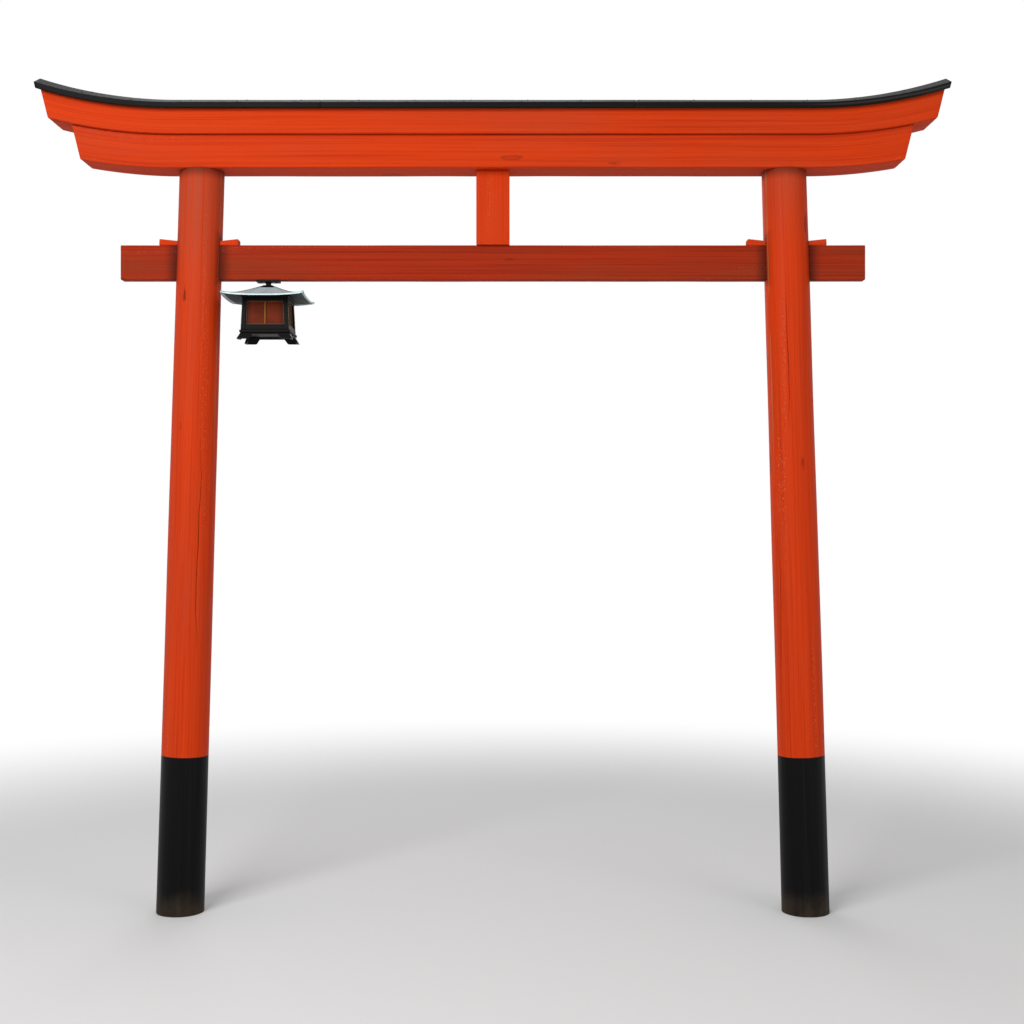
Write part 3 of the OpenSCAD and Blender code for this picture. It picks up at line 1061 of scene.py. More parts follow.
class Reach(Enum):
    """Side of a post, with its direction along X on the left one."""

    OUTER = -1
    INNER = 1


class Face(Enum):
    """Face of the gate that a board is on, with its direction along Y."""

    FRONT = -1
    BACK = 1


class Quarter(Enum):
    """A side of the lantern, with the number of quarter turns to it from the front."""

    FRONT = 0
    RIGHT = 1
    BACK = 2
    LEFT = 3


@dataclass(frozen=True)
class Check:
    """A drying check that runs along a log.

    Attributes:
        angle: Where it lies round the log, in degrees from the gate's middle.
        start: Its lower end along the log.
        end: Its upper end.
        width: How wide it has opened.
        depth: How deep it is.
    """

    angle: float
    start: float
    end: float
    width: float
    depth: float


# Columns that a drying check owns: place in half widths, and share of its depth there.
CHECK_COLUMNS = ((-3.0, 0.0), (-1.0, 0.12), (0.0, 1.0), (1.0, 0.12), (3.0, 0.0))


@dataclass(frozen=True)
class Post:
    """One log of the gate, from its black foot to the lintel.

    Attributes:
        side: Half of the gate that it stands on.
        paint: Finish of the log.
        checks: Drying checks of this log.
        seed: Number that picks its unevenness.
        wrap_h: Length of the black foot along the log.
        wrap_t: Thickness of the black foot's sheath.
        lip: Radius of the sheath's upper edge, and depth of the step behind it.
        lap_at: Angle round the log at which the sheath's end lies over its start.
        lap_t: How far that lap stands out.
        lap_over: Angle over which it runs out.
        columns: Number of points round the log between the checks.
        shown: Length of the log over the sheath, and number of rows on it.
        uneven: How far the log departs from a true round.
        bends: Waves of its slow bending, to a radius round it and to a metre along it.
        flats: Waves of the flats that the drawknife left, in the same way.
    """

    side: Side
    paint: PostPaint
    checks: tuple[Check, ...]
    seed: int
    wrap_h: float = mm(570.0)
    wrap_t: float = mm(4.0)
    lip: float = mm(1.2)
    lap_at: float = math.radians(158.0)
    lap_t: float = mm(0.9)
    lap_over: float = math.radians(30.0)
    columns: int = 108
    shown: tuple[float, int] = (2.12, 230)
    uneven: float = mm(1.3)
    bends: Pair = (1.3, 2.2)
    flats: Pair = (5.0, 1.1)

    def unevenness(self, angle: Array, along: Array) -> Array:
        """How far the log's face stands out from a true cone.

        It is three quarters of one noise on (cos, sin, length), which bends the face, and a
        quarter of a second one, drawn out along the log, for the flats.

        Args:
            angle: Angles round the log.
            along: Distances along it.

        Returns:
            The offsets, outwards.
        """
        round_about = np.stack([np.cos(angle), np.sin(angle), np.zeros_like(angle)], axis=-1)
        length = along[..., None] * [0.0, 0.0, 1.0]
        slow = round_about * self.bends[0] + length * self.bends[1] + 20.0 * self.seed
        flats = round_about * self.flats[0] + length * self.flats[1] + 31.0
        return self.uneven * (0.75 * waver(slow, self.seed) + 0.25 * waver(flats, self.seed + 1))

    def place(self, angle: Array, along: Array, radius: Array) -> Array:
        """Points at an angle round the log, a distance along its axis and a radius.

        Args:
            angle: Angles round the log.
            along: Distances along its axis.
            radius: Distances from it.

        Returns:
            The points, with x, y and z on the last axis.
        """
        lean = SIZES.lean
        out = radius * np.cos(angle)
        x = along * math.sin(lean) + out * math.cos(lean)
        z = along * math.cos(lean) - out * math.sin(lean)
        x = x if self.side is Side.LEFT else 2.0 * SIZES.middle - x
        return np.stack([x, radius * np.sin(angle), z], axis=-1)

    def level(self, angle: Array, height: float, inset: float = 0.0) -> Array:
        """Length at which z = length cos(lean) - radius cos(angle) sin(lean) is the height."""
        radius = SIZES.post_r(height) - inset
        return (height + radius * np.cos(angle) * math.sin(SIZES.lean)) / math.cos(SIZES.lean)

    def angles(self, along: Array) -> tuple[Array, Array, Array]:
        """Angle of each column in each row, bent so that columns follow the drying checks.

        Every check owns a few neighbouring columns.

        Args:
            along: Distance along the log of each row.

        Returns:
            The angles, how deep each point lies in a check, and the share of being in one, by which
            the paint is darkened as painted shade.
        """
        knots, places, depth = [], [], []
        radius = SIZES.post_r(along)
        for number, check in enumerate(sorted(self.checks, key=lambda check: check.angle)):
            base = math.radians(check.angle)
            line = np.stack([along * 9.0, along * 0.0 + number * 7.3, along * 0.0], axis=1)
            wander = mm(5.0) * waver(line + self.seed, self.seed + 5)
            wander = wander + mm(1.2) * waver(line * 6.0, self.seed + 6)
            way = np.clip((along - check.start) / (check.end - check.start), 0.0, 1.0)
            open_now = np.sin(np.pi * way) ** 0.6
            half = check.width / 2.0 * open_now + mm(0.35)
            column = round(check.angle / 360.0 * self.columns) + len(CHECK_COLUMNS) * number
            for step, (reach, share) in enumerate(CHECK_COLUMNS):
                knots.append(column + step)
                places.append(base + (wander + reach * half) / radius)
                depth.append(share * open_now * check.depth)
        total = self.columns + len(CHECK_COLUMNS) * len(self.checks)
        knot = np.array([*knots, knots[0] + total], float)
        place = np.stack([*places, places[0] + 2.0 * np.pi], axis=1)
        column = np.arange(total) + float(knots[0])
        after = np.clip(np.searchsorted(knot, column, side="right"), 1, len(knot) - 1)
        share = (column - knot[after - 1]) / (knot[after] - knot[after - 1])
        angle = place[:, after - 1] * (1.0 - share) + place[:, after] * share
        deep = np.zeros_like(angle)
        deep[:, np.array(knots) - knots[0]] = np.stack(depth, axis=1)
        # depth from which a check is painted fully dark as shade
        shade_full_depth = mm(6.0)
        return angle, deep, np.clip(deep / shade_full_depth, 0.0, 1.0)

    def log_skin(self) -> Skin:
        """The painted log, from the level cut under its foot to the one under the lintel.

        Inside the black foot it is dressed down by the sheath's thickness. Its point is the
        axis, plus the radius at that length in the column's direction, less the check's depth.

        Returns:
            The log's skin.
        """
        edge, step = self.wrap_h, self.wrap_h - self.lip
        hidden = np.append(np.linspace(0.0, edge - mm(2.0), 6), step)
        length, count = self.shown
        rows = np.concatenate([hidden, edge + mm(0.1) + np.linspace(0.0, length, count)])
        angle, deep, within = self.angles(rows)
        foot = self.level(angle, 0.0, self.wrap_t)
        top = self.level(angle, SIZES.lintel_z - mm(0.3))
        lower = foot + (step - foot) * (rows / step)[:, None]
        upper = edge + (top - edge) * ((rows - edge) / (rows[-1] - edge))[:, None]
        inside = (rows < edge)[:, None]
        along = np.where(inside, lower, upper)
        radius = SIZES.post_r(along) - np.where(inside, self.wrap_t + mm(0.3), 0.0)
        radius = radius + np.where(inside, 0.0, self.unevenness(angle, along) - deep)
        marks = np.stack([np.where(inside, 0.0, within), 0.0 * angle, 0.0 * angle + inside], axis=2)
        grid = self.place(angle, along, radius)
        grain = np.stack([along, radius * np.cos(angle), radius * np.sin(angle)], axis=2)
        return Skin().add(grid, grain, marks)

    def wrap_skin(self) -> Skin:
        """The black sheath, flush with the log above it.

        Its section goes up its outer face, over a lip of a small radius, down the inner face and
        back under the foot, and is carried round the log. Where its end lies over its start it
        stands out by the lap's step times (1 - turn / the angle over which it runs out).

        Returns:
            The sheath's skin.
        """
        full, seam = 2.0 * np.pi, 0.013
        turn = np.append(np.linspace(0.0, full - 0.012, 144), full - 0.004)
        angle = turn + self.lap_at
        lip, high = self.lip, self.wrap_h
        curl = np.linspace(0.0, np.pi / 2.0, 4)
        outer = np.linspace(0.0, high - lip, 40)
        inner = np.array([high, high - mm(40.0), mm(60.0), 0.0])
        along = np.concatenate([outer, high - lip + lip * np.sin(curl), inner])[:, None]
        over = np.concatenate([outer * 0.0, lip * (1.0 - np.cos(curl))])
        inset = np.append(over, np.full(inner.size, self.wrap_t))[:, None]
        foot = self.level(angle, 0.0)[None]
        along = foot * (1.0 - along / high) + along
        step = self.lap_t * np.clip(1.0 - turn / self.lap_over, 0.0, 1.0)
        face = np.clip(1.0 - inset / lip, 0.0, 1.0)
        radius = SIZES.post_r(along) - inset + face * (self.unevenness(angle, along) + step)
        marks = np.zeros((*radius.shape, 3))
        marks[..., 2] = turn > full - seam
        grain = np.stack([along, radius * np.cos(angle), radius * np.sin(angle)], axis=2)
        return Skin().add(self.place(angle, along, radius), grain, marks, ring=True)

    def build(self) -> list[Piece]:
        """Build and dress the log and its black foot.

        Returns:
            The finished objects.
        """
        word = self.side.value
        black = BlackPaint(f"{word}_foot_black", dust_to=0.11, shift=2.3 * self.seed)
        timber = self.log_skin().mesh(f"{word}_log")
        sheath = self.wrap_skin().mesh(f"{word}_foot_sheath")
        return [
            dress(timber, self.paint, "vermilion_paint", f"{word}_post"),
            dress(sheath, black, "black_paint", f"{word}_root_wrap"),
        ]


@dataclass(frozen=True)
class TieBeam:
    """The flat beam through both posts, its four wedges and the strut that stands on it.

    Attributes:
        end_x: Place of the beam's left end.
        wedge_out: How far a wedge stands out of its post.
        wedge_tip: Thickness of its thin end.
        wedge_rise: Rise of its upper face.
        wedge_apart: Space between the two wedges of a post.
        strut: Width, depth and clear height of the strut.
    """

    end_x: float
    wedge_out: float = mm(62.0)
    wedge_tip: float = mm(8.0)
    wedge_rise: float = math.radians(6.0)
    wedge_apart: float = mm(16.0)
    strut: Point = (mm(120.0), mm(72.0), mm(270.0))

    def straight(self) -> tuple[Skin, Skin]:
        """The beam, an eased rectangle carried along X, and the strut, carried up from it.

        Returns:
            The beam's skin and the strut's.
        """
        width, depth, clear = self.strut
        x, z, low = SIZES.middle, SIZES.tie_z + SIZES.tie_h / 2.0, SIZES.tie_z + SIZES.tie_h
        beam = Stick(
            start=(self.end_x, 0.0, z), end=(2.0 * x - self.end_x, 0.0, z),
            width=SIZES.tie_t, height=SIZES.tie_h, ease=mm(3.0), steps=150, rough=mm(0.45), seed=4,
        )
        strut = Stick(
            start=(x, 0.0, low + mm(0.2)), end=(x, 0.0, low + clear - mm(0.2)),
            width=depth, height=width, ease=mm(3.0), steps=30, rough=mm(0.4), seed=6,
        )
        return beam.skin(), strut.skin()

    def wedge(self, reach: Reach, seed: int) -> Skin:
        """One wedge of the left post: its underside is flat and its top rises outwards.

        Its section is an eased rectangle whose height goes from the thin end's thickness plus
        near * tan(rise) to the same plus far * tan(rise), with its underside on the beam.

        Args:
            reach: Side of the post to which it points.
            seed: Number that picks its wavering.

        Returns:
            The wedge's skin.
        """
        top = SIZES.tie_z + SIZES.tie_h
        near, half = self.wedge_apart / 2.0, SIZES.post_r(top) / math.cos(SIZES.lean)
        far = half + self.wedge_out
        slope = math.tan(self.wedge_rise)
        low, high = self.wedge_tip + near * slope, self.wedge_tip + far * slope
        x, side = SIZES.post_x(top), reach.value
        return Stick(
            start=(x + side * near, 0.0, top + low / 2.0),
            end=(x + side * far, 0.0, top + high / 2.0),
            width=SIZES.tie_t - mm(1.0), height=low, taper=high / low,
            ease=mm(1.6), steps=14, rough=mm(0.3), seed=seed,
        ).skin()

    def build(self) -> list[Piece]:
        """Build and dress the beam, the wedges and the strut.

        Returns:
            The finished objects.
        """
        post_r = mm(81.0)
        half = math.sqrt(post_r**2 - (SIZES.tie_t / 2.0) ** 2)
        at = SIZES.middle - SIZES.post_x(SIZES.tie_z + SIZES.tie_h / 2.0)
        # darker and browner than the posts' paint: faded paint, and painted shade
        faded_shaded = BeamPaint(
            "tie_beam_faded_shaded_vermilion", middle=SIZES.middle, post_at=at, post_half=half,
            fresh=srgb(164, 42, 10), deep=srgb(124, 29, 6), pale=srgb(134, 56, 32),
            weathering=Weathering.FADED, chips=0.25, shift=8.0,
        )
        plain = Vermilion("mellow_vermilion", chips=0.45, knots=0.3, shift=5.0)
        beam, strut = self.straight()
        pieces = [dress(beam.mesh("tie_timber"), faded_shaded, "faded_vermilion", "tie_beam")]
        for seed, (side, reach) in enumerate((
            (Side.LEFT, Reach.OUTER), (Side.LEFT, Reach.INNER),
            (Side.RIGHT, Reach.INNER), (Side.RIGHT, Reach.OUTER),
        ), 11):
            skin = self.wedge(reach, seed)
            skin = skin if side is Side.LEFT else skin.mirrored(SIZES.middle)
            wedge = f"{side.value}_{reach.name.lower()}_wedge"
            pieces.append(dress(skin.mesh(f"{wedge}_block"), plain, "vermilion_paint", wedge))
        timber = strut.mesh("centre_strut_timber")
        pieces.append(dress(timber, plain, "vermilion_paint", "centre_strut"))
        return pieces


# The V at a joint: place in thousandths of the half length, and depth there in millimetres.
JOINT = ((-1.6, 0.0), (-0.5, 0.5), (0.0, 2.4), (0.5, 0.5), (1.6, 0.0))


@dataclass(frozen=True)
class SweptTimber:
    """A long timber on top of the gate, straight over the posts and swept up at both ends.

    Attributes:
        outline: Its section, as places across and heights above the lower lintel's underside.
        end_x: Place of its left end at the level of that underside.
        sweep_from: Place where the left sweep starts.
        ease: Radius of its rounded ends.
        seed: Number that picks the wavering of its faces.
        joints: Shares of its half length at which two lengths of it meet.
        steps: Number of rows along it.
        rough: How far its faces waver.
        waves: Waves of that to a metre along it, across it and up it.
    """

    outline: Outline
    end_x: float
    sweep_from: float
    ease: float
    seed: int
    joints: tuple[float, ...] = ()
    steps: int = 170
    rough: float = mm(0.5)
    waves: Point = (5.0, 26.0, 26.0)

    def reach(self, height: Array) -> Array:
        """Length from the middle to the end cut, at a height above the underside.

        On the sweep a point at the angle p lies at x = bend - (R - h) sin p and
        z = R - (R - h) cos p. It meets the slanted cut x = end - z tan(slant) where
        sin(p + slant) = (bend - end + R tan(slant)) cos(slant) / (R - h).

        Args:
            height: Heights above the underside.

        Returns:
            The length at each height.
        """
        radius, slant = SIZES.sweep_r, SIZES.end_slant
        span = self.sweep_from - self.end_x + radius * math.tan(slant)
        angle = np.arcsin(span * math.cos(slant) / (radius - height)) - slant
        return SIZES.middle - self.sweep_from + radius * angle

    def bent(self, along: Array, across: Array, height: Array) -> Array:
        """Points of the bent timber from a length along it, a place across and a height.

        Args:
            along: Lengths from the middle.
            across: Places across.
            height: Heights above the lower lintel's underside.

        Returns:
            The points, with x, y and z on the last axis.
        """
        radius, straight = SIZES.sweep_r, SIZES.middle - self.sweep_from
        angle = np.maximum(np.abs(along) - straight, 0.0) / radius
        x = np.minimum(np.abs(along), straight) + (radius - height) * np.sin(angle)
        z = radius - (radius - height) * np.cos(angle)
        return np.stack([SIZES.middle + np.sign(along) * x, across, SIZES.lintel_z + z], axis=-1)

    def skin(self) -> Skin:
        """The timber: its section at each row, carried along the bent line.

        At a joint five more rows carry a narrow V, by which the section is set in.

        Returns:
            The timber's skin.
        """
        row = stations(self.ease, self.steps)
        inset, place = row.inset, row.place
        near, sunk = mm(1.0) * np.array(JOINT).T
        for joint in self.joints:
            cut = np.searchsorted(place, joint)
            place, inset = np.insert(place, cut, joint + near), np.insert(inset, cut, sunk)
        half, extra = row.back.size // 2, place.size - row.place.size
        back = np.insert(row.back, half, np.full(extra, self.ease))
        scale = np.insert(row.scale, half, np.ones(extra))
        section = self.outline.inset(inset)
        centre = self.outline.points.mean(0)
        section = centre + (section - centre) * scale[:, None, None]
        height = section[..., 1]
        along = place[:, None] * (self.reach(height) - back[:, None])
        local = np.stack([along, section[..., 0], height], axis=2)
        drawn = local * self.waves
        wave = self.rough * waver(drawn + self.seed, self.seed)
        lift = self.rough * waver(drawn - self.seed, self.seed + 1)
        grid = self.bent(along, section[..., 0] + wave, height + lift)
        marks = np.zeros_like(grid)
        marks[..., 1] = (back < self.ease * 0.5)[:, None]
        marks[..., 2] = (inset > mm(1.1))[:, None] & (back >= self.ease)[:, None]
        return Skin().add(grid, local, marks)


@dataclass(frozen=True)
class Crown:
    """The two lintels and the weather boards that cover them.

    Attributes:
        lower: Height and depth of the lower lintel.
        lower_reach: Reach of the lower lintel past a post's outer face.
        top_side: Height of the top lintel's upright sides.
        top_depth: Depth of the top lintel.
        top_reach: How much further the top lintel reaches.
        pitch: Slope of the top.
        gap: Space between faces that lie on each other.
        board: Thickness of the weather boards.
        board_out: Overhang of the boards past the lintel's faces.
        board_end: Overhang of the boards past its ends.
        sweep_from: Distance from a post's outer face to the start of the sweep.
        joints: Shares of the half length at which two lengths of a board meet.
        nails: Spacing of the nails in the weather boards.
        nail_lines: Their two lines, as shares of the half depth.
        nail_stray: How far a nail may stray along its line.
    """

    lower: Pair = (mm(118.0), mm(150.0))
    lower_reach: float = mm(335.0)
    top_side: float = mm(92.0)
    top_depth: float = mm(180.0)
    top_reach: float = mm(76.0)
    pitch: float = math.radians(19.0)
    gap: float = mm(0.3)
    board: float = mm(20.0)
    board_out: float = mm(18.0)
    board_end: float = mm(14.0)
    sweep_from: float = mm(10.0)
    joints: Pair = (-0.36, 0.3)
    nails: float = mm(190.0)
    nail_lines: Pair = (0.86, 0.2)
    nail_stray: float = mm(5.0)

    @property
    def board_z(self) -> float:
        """Height of the boards over the top lintel's sides, from the lower lintel's underside."""
        return self.lower[0] + self.top_side + 2.0 * self.gap

    def timber(
        self, corners: list[Pair], beyond: float, ease: float, **more: object
    ) -> SweptTimber:
        """A timber of the crown from its section's corners and its reach past a post."""
        outer, rim = SIZES.post_face(SIZES.lintel_z, Reach.OUTER), eased_outline(corners, ease, 6)
        return SweptTimber(rim, outer - beyond, outer - self.sweep_from, ease, **more)

    def board_corners(self, face: Face) -> list[Pair]:
        """Corners of a board's section, anticlockwise.

        Args:
            face: Face of the gate that the board is on.

        Returns:
            The corners.
        """
        base, side = self.board_z, face.value
        slope, half = math.tan(self.pitch), self.top_depth / 2.0
        out, thick = half + self.board_out, self.board / math.cos(self.pitch)
        peak, eave = base + half * slope, base - self.board_out * slope
        inner, outer = side * mm(0.2), side * out
        corners = [(inner, peak), (outer, eave), (outer, eave + thick), (inner, peak + thick)]
        return corners if side > 0 else corners[::-1]

    def nail_rows(self, timber: SweptTimber, face: Face) -> tuple[Array, Array]:
        """Feet and directions of the nails in a board: two lines along its upper face.

        Args:
            timber: The board.
            face: Face of the gate that it is on.

        Returns:
            The feet, and the directions that the heads face.
        """
        half, slope, side = self.top_depth / 2.0, math.tan(self.pitch), face.value
        thick = self.board / math.cos(self.pitch)
        full = SIZES.middle - timber.end_x - mm(40.0)
        count = int(2.0 * full / self.nails)
        line = np.linspace(-full, full, count)
        stray = np.random.default_rng(timber.seed).uniform(-1.0, 1.0, (2, count)) * self.nail_stray
        along = np.concatenate([line, line + mm(20.0)]) + stray.ravel()
        across = np.repeat(half * np.array(self.nail_lines), count)
        height = self.board_z + (half - across) * slope + thick
        feet = timber.bent(along, side * across, height)
        across, height = across + 0.1 * math.sin(self.pitch), height + 0.1 * math.cos(self.pitch)
        return feet, timber.bent(along, side * across, height) - feet

    def build(self) -> list[Piece]:
        """Build and dress both lintels, both boards and the boards' nails.

        Returns:
            The finished objects.
        """
        low, deep = self.lower
        half, wide = deep / 2.0, self.top_depth / 2.0
        section = [(-half, 0.0), (half, 0.0), (half, low), (-half, low)]
        lower = self.timber(section, self.lower_reach, mm(4.0), seed=21)
        base = low + self.gap
        side_top = base + self.top_side
        crest = side_top + wide * math.tan(self.pitch)
        reach = self.lower_reach + self.top_reach
        section = [(-wide, base), (wide, base), (wide, side_top), (0.0, crest), (-wide, side_top)]
        upper = self.timber(section, reach, mm(4.0), seed=23)
        paint = Vermilion("lintel_vermilion", deep=srgb(180, 43, 5), knots=0.22, shift=13.0)
        black = BlackPaint("weather_board_black", worn=srgb(52, 49, 47), roughness=0.46, shift=4.0)
        pieces = []
        for word, timber in (("lower", lower), ("top", upper)):
            lintel = timber.skin().mesh(f"{word}_lintel_timber")
            pieces.append(dress(lintel, paint, "vermilion_paint", f"{word}_lintel"))
        reach += self.board_end
        for face in Face:
            word, corners = face.name.lower(), self.board_corners(face)
            board = self.timber(corners, reach, mm(2.5), joints=self.joints, seed=24 + face.value)
            skin = board.skin()
            skin.studs(*self.nail_rows(board, face), radius=mm(4.0), height=mm(1.6))
            boards = skin.mesh(f"{word}_boards")
            pieces.append(dress(boards, black, "black_paint", f"{word}_weather_board"))
        return pieces


@dataclass(frozen=True)
class Lantern:
    """The small lantern under the tie beam beside the left post.

    Attributes:
        gap: Gap between the post, at the beam, and the eaves.
        width: Width of the body at its top.
        flare: How much wider it is at its bottom.
        body_h: Height of the body.
        frame_t: Thickness of the frame.
        stile: Width of a corner stile.
        top_rail: Height of the top rail.
        bottom_rail: Height of the bottom rail.
        bar: Width and depth of the bar in front of a pane.
        pane: Thickness of a pane.
        eaves: How far the eaves reach past the body.
        roof_h: Height of the roof.
        sheet: Thickness of its sheet.
        corner_lift: Rise of its corners.
        peak: Width of the flat square at its peak.
        ceiling: Thickness of the ceiling board and how far it stands out.
        plate: Length, width and thickness of the plate under the beam.
        stem: Diameter and length of the stem.
        floor: Thickness of the floor board and how far it stands out.
        feet: Height, spread, width and thickness of the feet.
        skirt: Height of the skirt between the feet.
        foot_taper: Length over which a foot narrows to the skirt.
    """

    gap: float = mm(24.0)
    width: float = mm(162.0)
    flare: float = mm(11.0)
    body_h: float = mm(118.0)
    frame_t: float = mm(10.0)
    stile: float = mm(16.0)
    top_rail: float = mm(13.0)
    bottom_rail: float = mm(20.0)
    bar: Pair = (mm(5.0), mm(6.5))
    pane: float = mm(3.0)
    eaves: float = mm(61.0)
    roof_h: float = mm(50.0)
    sheet: float = mm(3.0)
    corner_lift: float = mm(9.0)
    peak: float = mm(30.0)
    ceiling: Pair = (mm(6.0), mm(4.0))
    plate: Point = (mm(84.0), mm(44.0), mm(7.0))
    stem: Pair = (mm(20.0), mm(13.0))
    floor: Pair = (mm(9.0), mm(4.0))
    feet: tuple[float, float, float, float] = (mm(24.0), mm(13.0), mm(36.0), mm(10.0))
    skirt: float = mm(7.0)
    foot_taper: float = mm(8.0)

    @property
    def body_w(self) -> float:
        """Width of the body at its bottom."""
        return self.width + self.flare

    @property
    def roof_w(self) -> float:
        """Width of the roof over its eaves."""
        return self.body_w + 2.0 * self.eaves

    @property
    def x(self) -> float:
        """Place of the lantern's middle: the gap and half a roof from the post's face."""
        return SIZES.post_face(SIZES.tie_z, Reach.INNER) + self.gap + self.roof_w / 2.0

    @property
    def eaves_z(self) -> float:
        """Height of the top of the body, where the roof's eaves lie."""
        return SIZES.tie_z - self.plate[2] - self.stem[1] - self.roof_h

    @property
    def body_z(self) -> float:
        """Height of the bottom of the body."""
        return self.eaves_z - self.body_h

    def half_at(self, z: float, inset: float = 0.0) -> float:
        """Half the body's width, less an inset, at a height above its bottom."""
        return (self.body_w - self.flare * z / self.body_h - 2.0 * inset) / 2.0

    def turned(self, points: Array, quarter: Quarter) -> Array:
        """Points about the lantern's axis, turned to one of its sides and moved to their place.

        Args:
            points: The points, as if they were at the front.
            quarter: Side to which they are turned.

        Returns:
            The points in the frame.
        """
        c, s = ((1.0, 0.0), (0.0, 1.0), (-1.0, 0.0), (0.0, -1.0))[quarter.value]
        turn = np.array([[c, s, 0.0], [-s, c, 0.0], [0.0, 0.0, 1.0]])
        return points @ turn + [self.x, 0.0, 0.0]

    def laths(
        self, rows: list[tuple[Point, Point, float, float, int]], ease: float, vary: bool = False
    ) -> Skin:
        """The same straight laths on all four sides of the body.

        Args:
            rows: Both ends of each lath at the front, about the lantern's axis and with z above
                the body's bottom, its width, its depth and its seed.
            ease: Radius of their edges.
            vary: True where the same lath wavers differently on each side.

        Returns:
            The laths' skin.
        """
        skin = Skin()
        for quarter in Quarter:
            for low, high, wide, deep, seed in rows:
                upright = abs(high[2] - low[2]) > abs(high[0] - low[0])
                points, grain, marks = Stick(
                    start=low, end=high, width=wide, height=deep,
                    across=(1.0, 0.0, 0.0) if upright else (0.0, 0.0, 1.0),
                    ease=ease, steps=10, rough=mm(0.12), seed=seed + vary * quarter.value,
                ).shell()
                skin.add(self.turned(points + [0.0, 0.0, self.body_z], quarter), grain, marks)
        return skin

    def frame_skin(self) -> Skin:
        """The body's frame: four leaning corner stiles, and a top and a bottom rail on each side.

        Returns:
            The frame's skin.
        """
        wide, deep, top, tuck = self.stile, self.frame_t, self.body_h, mm(3.0)
        low_y, high_y = (-self.half_at(z, deep / 2.0) for z in (0.0, top))
        low_x, high_x = (self.half_at(z, wide / 2.0) for z in (0.0, top))
        rows = [
            ((-low_x, low_y, 0.0), (-high_x, high_y, top), wide, deep, 40),
            ((low_x - tuck, low_y, 0.0), (high_x - tuck, high_y, top), wide - 2.0 * tuck, deep, 50),
        ]
        low, high = self.bottom_rail / 2.0, top - self.top_rail / 2.0
        for height, z, seed in ((self.bottom_rail, low, 60), (self.top_rail, high, 70)):
            reach = self.half_at(z, wide - mm(2.0))
            y = -self.half_at(z, deep / 2.0 + mm(0.4))
            rows.append(((-reach, y, z), (reach, y, z), height, deep - mm(0.8), seed))
        return self.laths(rows, mm(1.2), vary=True)

    def bead_skin(self) -> Skin:
        """The thin pale beads round each pane.

        Returns:
            The beads' skin.
        """
        bead, deep = mm(2.6), mm(3.2)
        low, high = self.bottom_rail, self.body_h - self.top_rail
        back = self.frame_t - deep / 2.0 + mm(0.2)
        low_y, high_y = (-self.half_at(z, back) for z in (low, high))
        half_low, half_high = (self.half_at(z, self.stile + bead / 2.0) for z in (low, high))
        rows = [
            ((side * half_low, low_y, low), (side * half_high, high_y, high), bead, deep, 80)
            for side in (-1.0, 1.0)
        ]
        ends = (low + bead / 2.0, low_y, half_low), (high - bead / 2.0, high_y, half_high)
        for z, y, half in ends:
            rows.append(((-half, y, z), (half, y, z), bead, deep, 81))
        return self.laths(rows, mm(0.6))

    def bar_skin(self) -> Skin:
        """The upright bar in the middle of each pane.

        Returns:
            The bars' skin.
        """
        low, high = self.bottom_rail, self.body_h - self.top_rail
        width, depth = self.bar
        low_y, high_y = (-self.half_at(z, self.frame_t - depth / 2.0) for z in (low, high))
        return self.laths([((0.0, low_y, low), (0.0, high_y, high), width, depth, 82)], mm(0.8))

    def pane_skin(self, quarter: Quarter) -> Skin:
        """One pane: a thin eased sheet that leans with the body and bellies by half a millimetre.

        Args:
            quarter: Side to which it is turned.

        Returns:
            The pane's skin.
        """
        outer = self.frame_t + mm(0.5)
        top = self.body_h - mm(0.5)
        half = self.half_at(0.0, outer + self.pane + mm(0.5))
        half_top = half - self.half_at(0.0) + self.half_at(top)
        row = stations(mm(0.5), 22, rings=2)
        outline = rectangle(2.0 * half, self.pane, mm(0.5), side=18)
        section = outline.inset(row.inset) * row.scale[:, None, None]
        along = row.place * (top / 2.0 - row.back) + top / 2.0
        share = along / top
        section[..., 0] *= (1.0 + (half_top / half - 1.0) * share)[:, None]
        x = section[..., 0]
        belly = mm(0.5) * np.cos(x / half * np.pi / 2.0) * np.sin(np.pi * share)[:, None]
        y = -(self.body_w - self.flare * share) / 2.0 + outer + self.pane / 2.0
        z = along[:, None] + 0.0 * belly
        points = np.stack([x, y[:, None] + section[..., 1] - belly, z + self.body_z], axis=2)
        grain = np.stack([z - top / 2.0, x, section[..., 1]], axis=2)
        return Skin().add(self.turned(points, quarter), grain)

    def around(self, corner_turn: float, steps: int) -> tuple[Array, Array, Array]:
        """Directions round a square with softly turned corners.

        Args:
            corner_turn: Radius of a corner, as a share of the half width.
            steps: Number of directions on a side.

        Returns:
            The x and y of points on a square of half width 1, and the smaller of |x| and |y| over
            the larger: the share of the way from a side's middle to its corner.
        """
        corners = [(-1.0, -1.0), (1.0, -1.0), (1.0, 1.0), (-1.0, 1.0)]
        outline = eased_outline(corners, corner_turn, steps, 5)
        x, y = outline.points[:, 0], outline.points[:, 1]
        return x, y, np.minimum(np.abs(x), np.abs(y)) / np.maximum(np.abs(x), np.abs(y))

    def roof_height(self, out: Array, corner: Array) -> Array:
        """Height of the sheet's lower face above the eaves.

        With out the share of the half width and p the peak's share it is
        (roof - sheet) ((1 - out) / (1 - p))^1.5, plus the corner lift times the square of the
        share past the body and the cube of the share towards the corner.

        Args:
            out: Shares of the half width, from the middle.
            corner: Shares of the way to a corner.

        Returns:
            The height at each of them.
        """
        peak, flat = self.peak / self.roof_w, self.body_w / self.roof_w
        slope = (self.roof_h - self.sheet) * (np.clip(1.0 - out, 0.0, 1.0) / (1.0 - peak)) ** 1.5
        lift = np.clip((out - flat) / (1.0 - flat), 0.0, 1.0) ** 2
        return slope + self.corner_lift * lift * corner**3

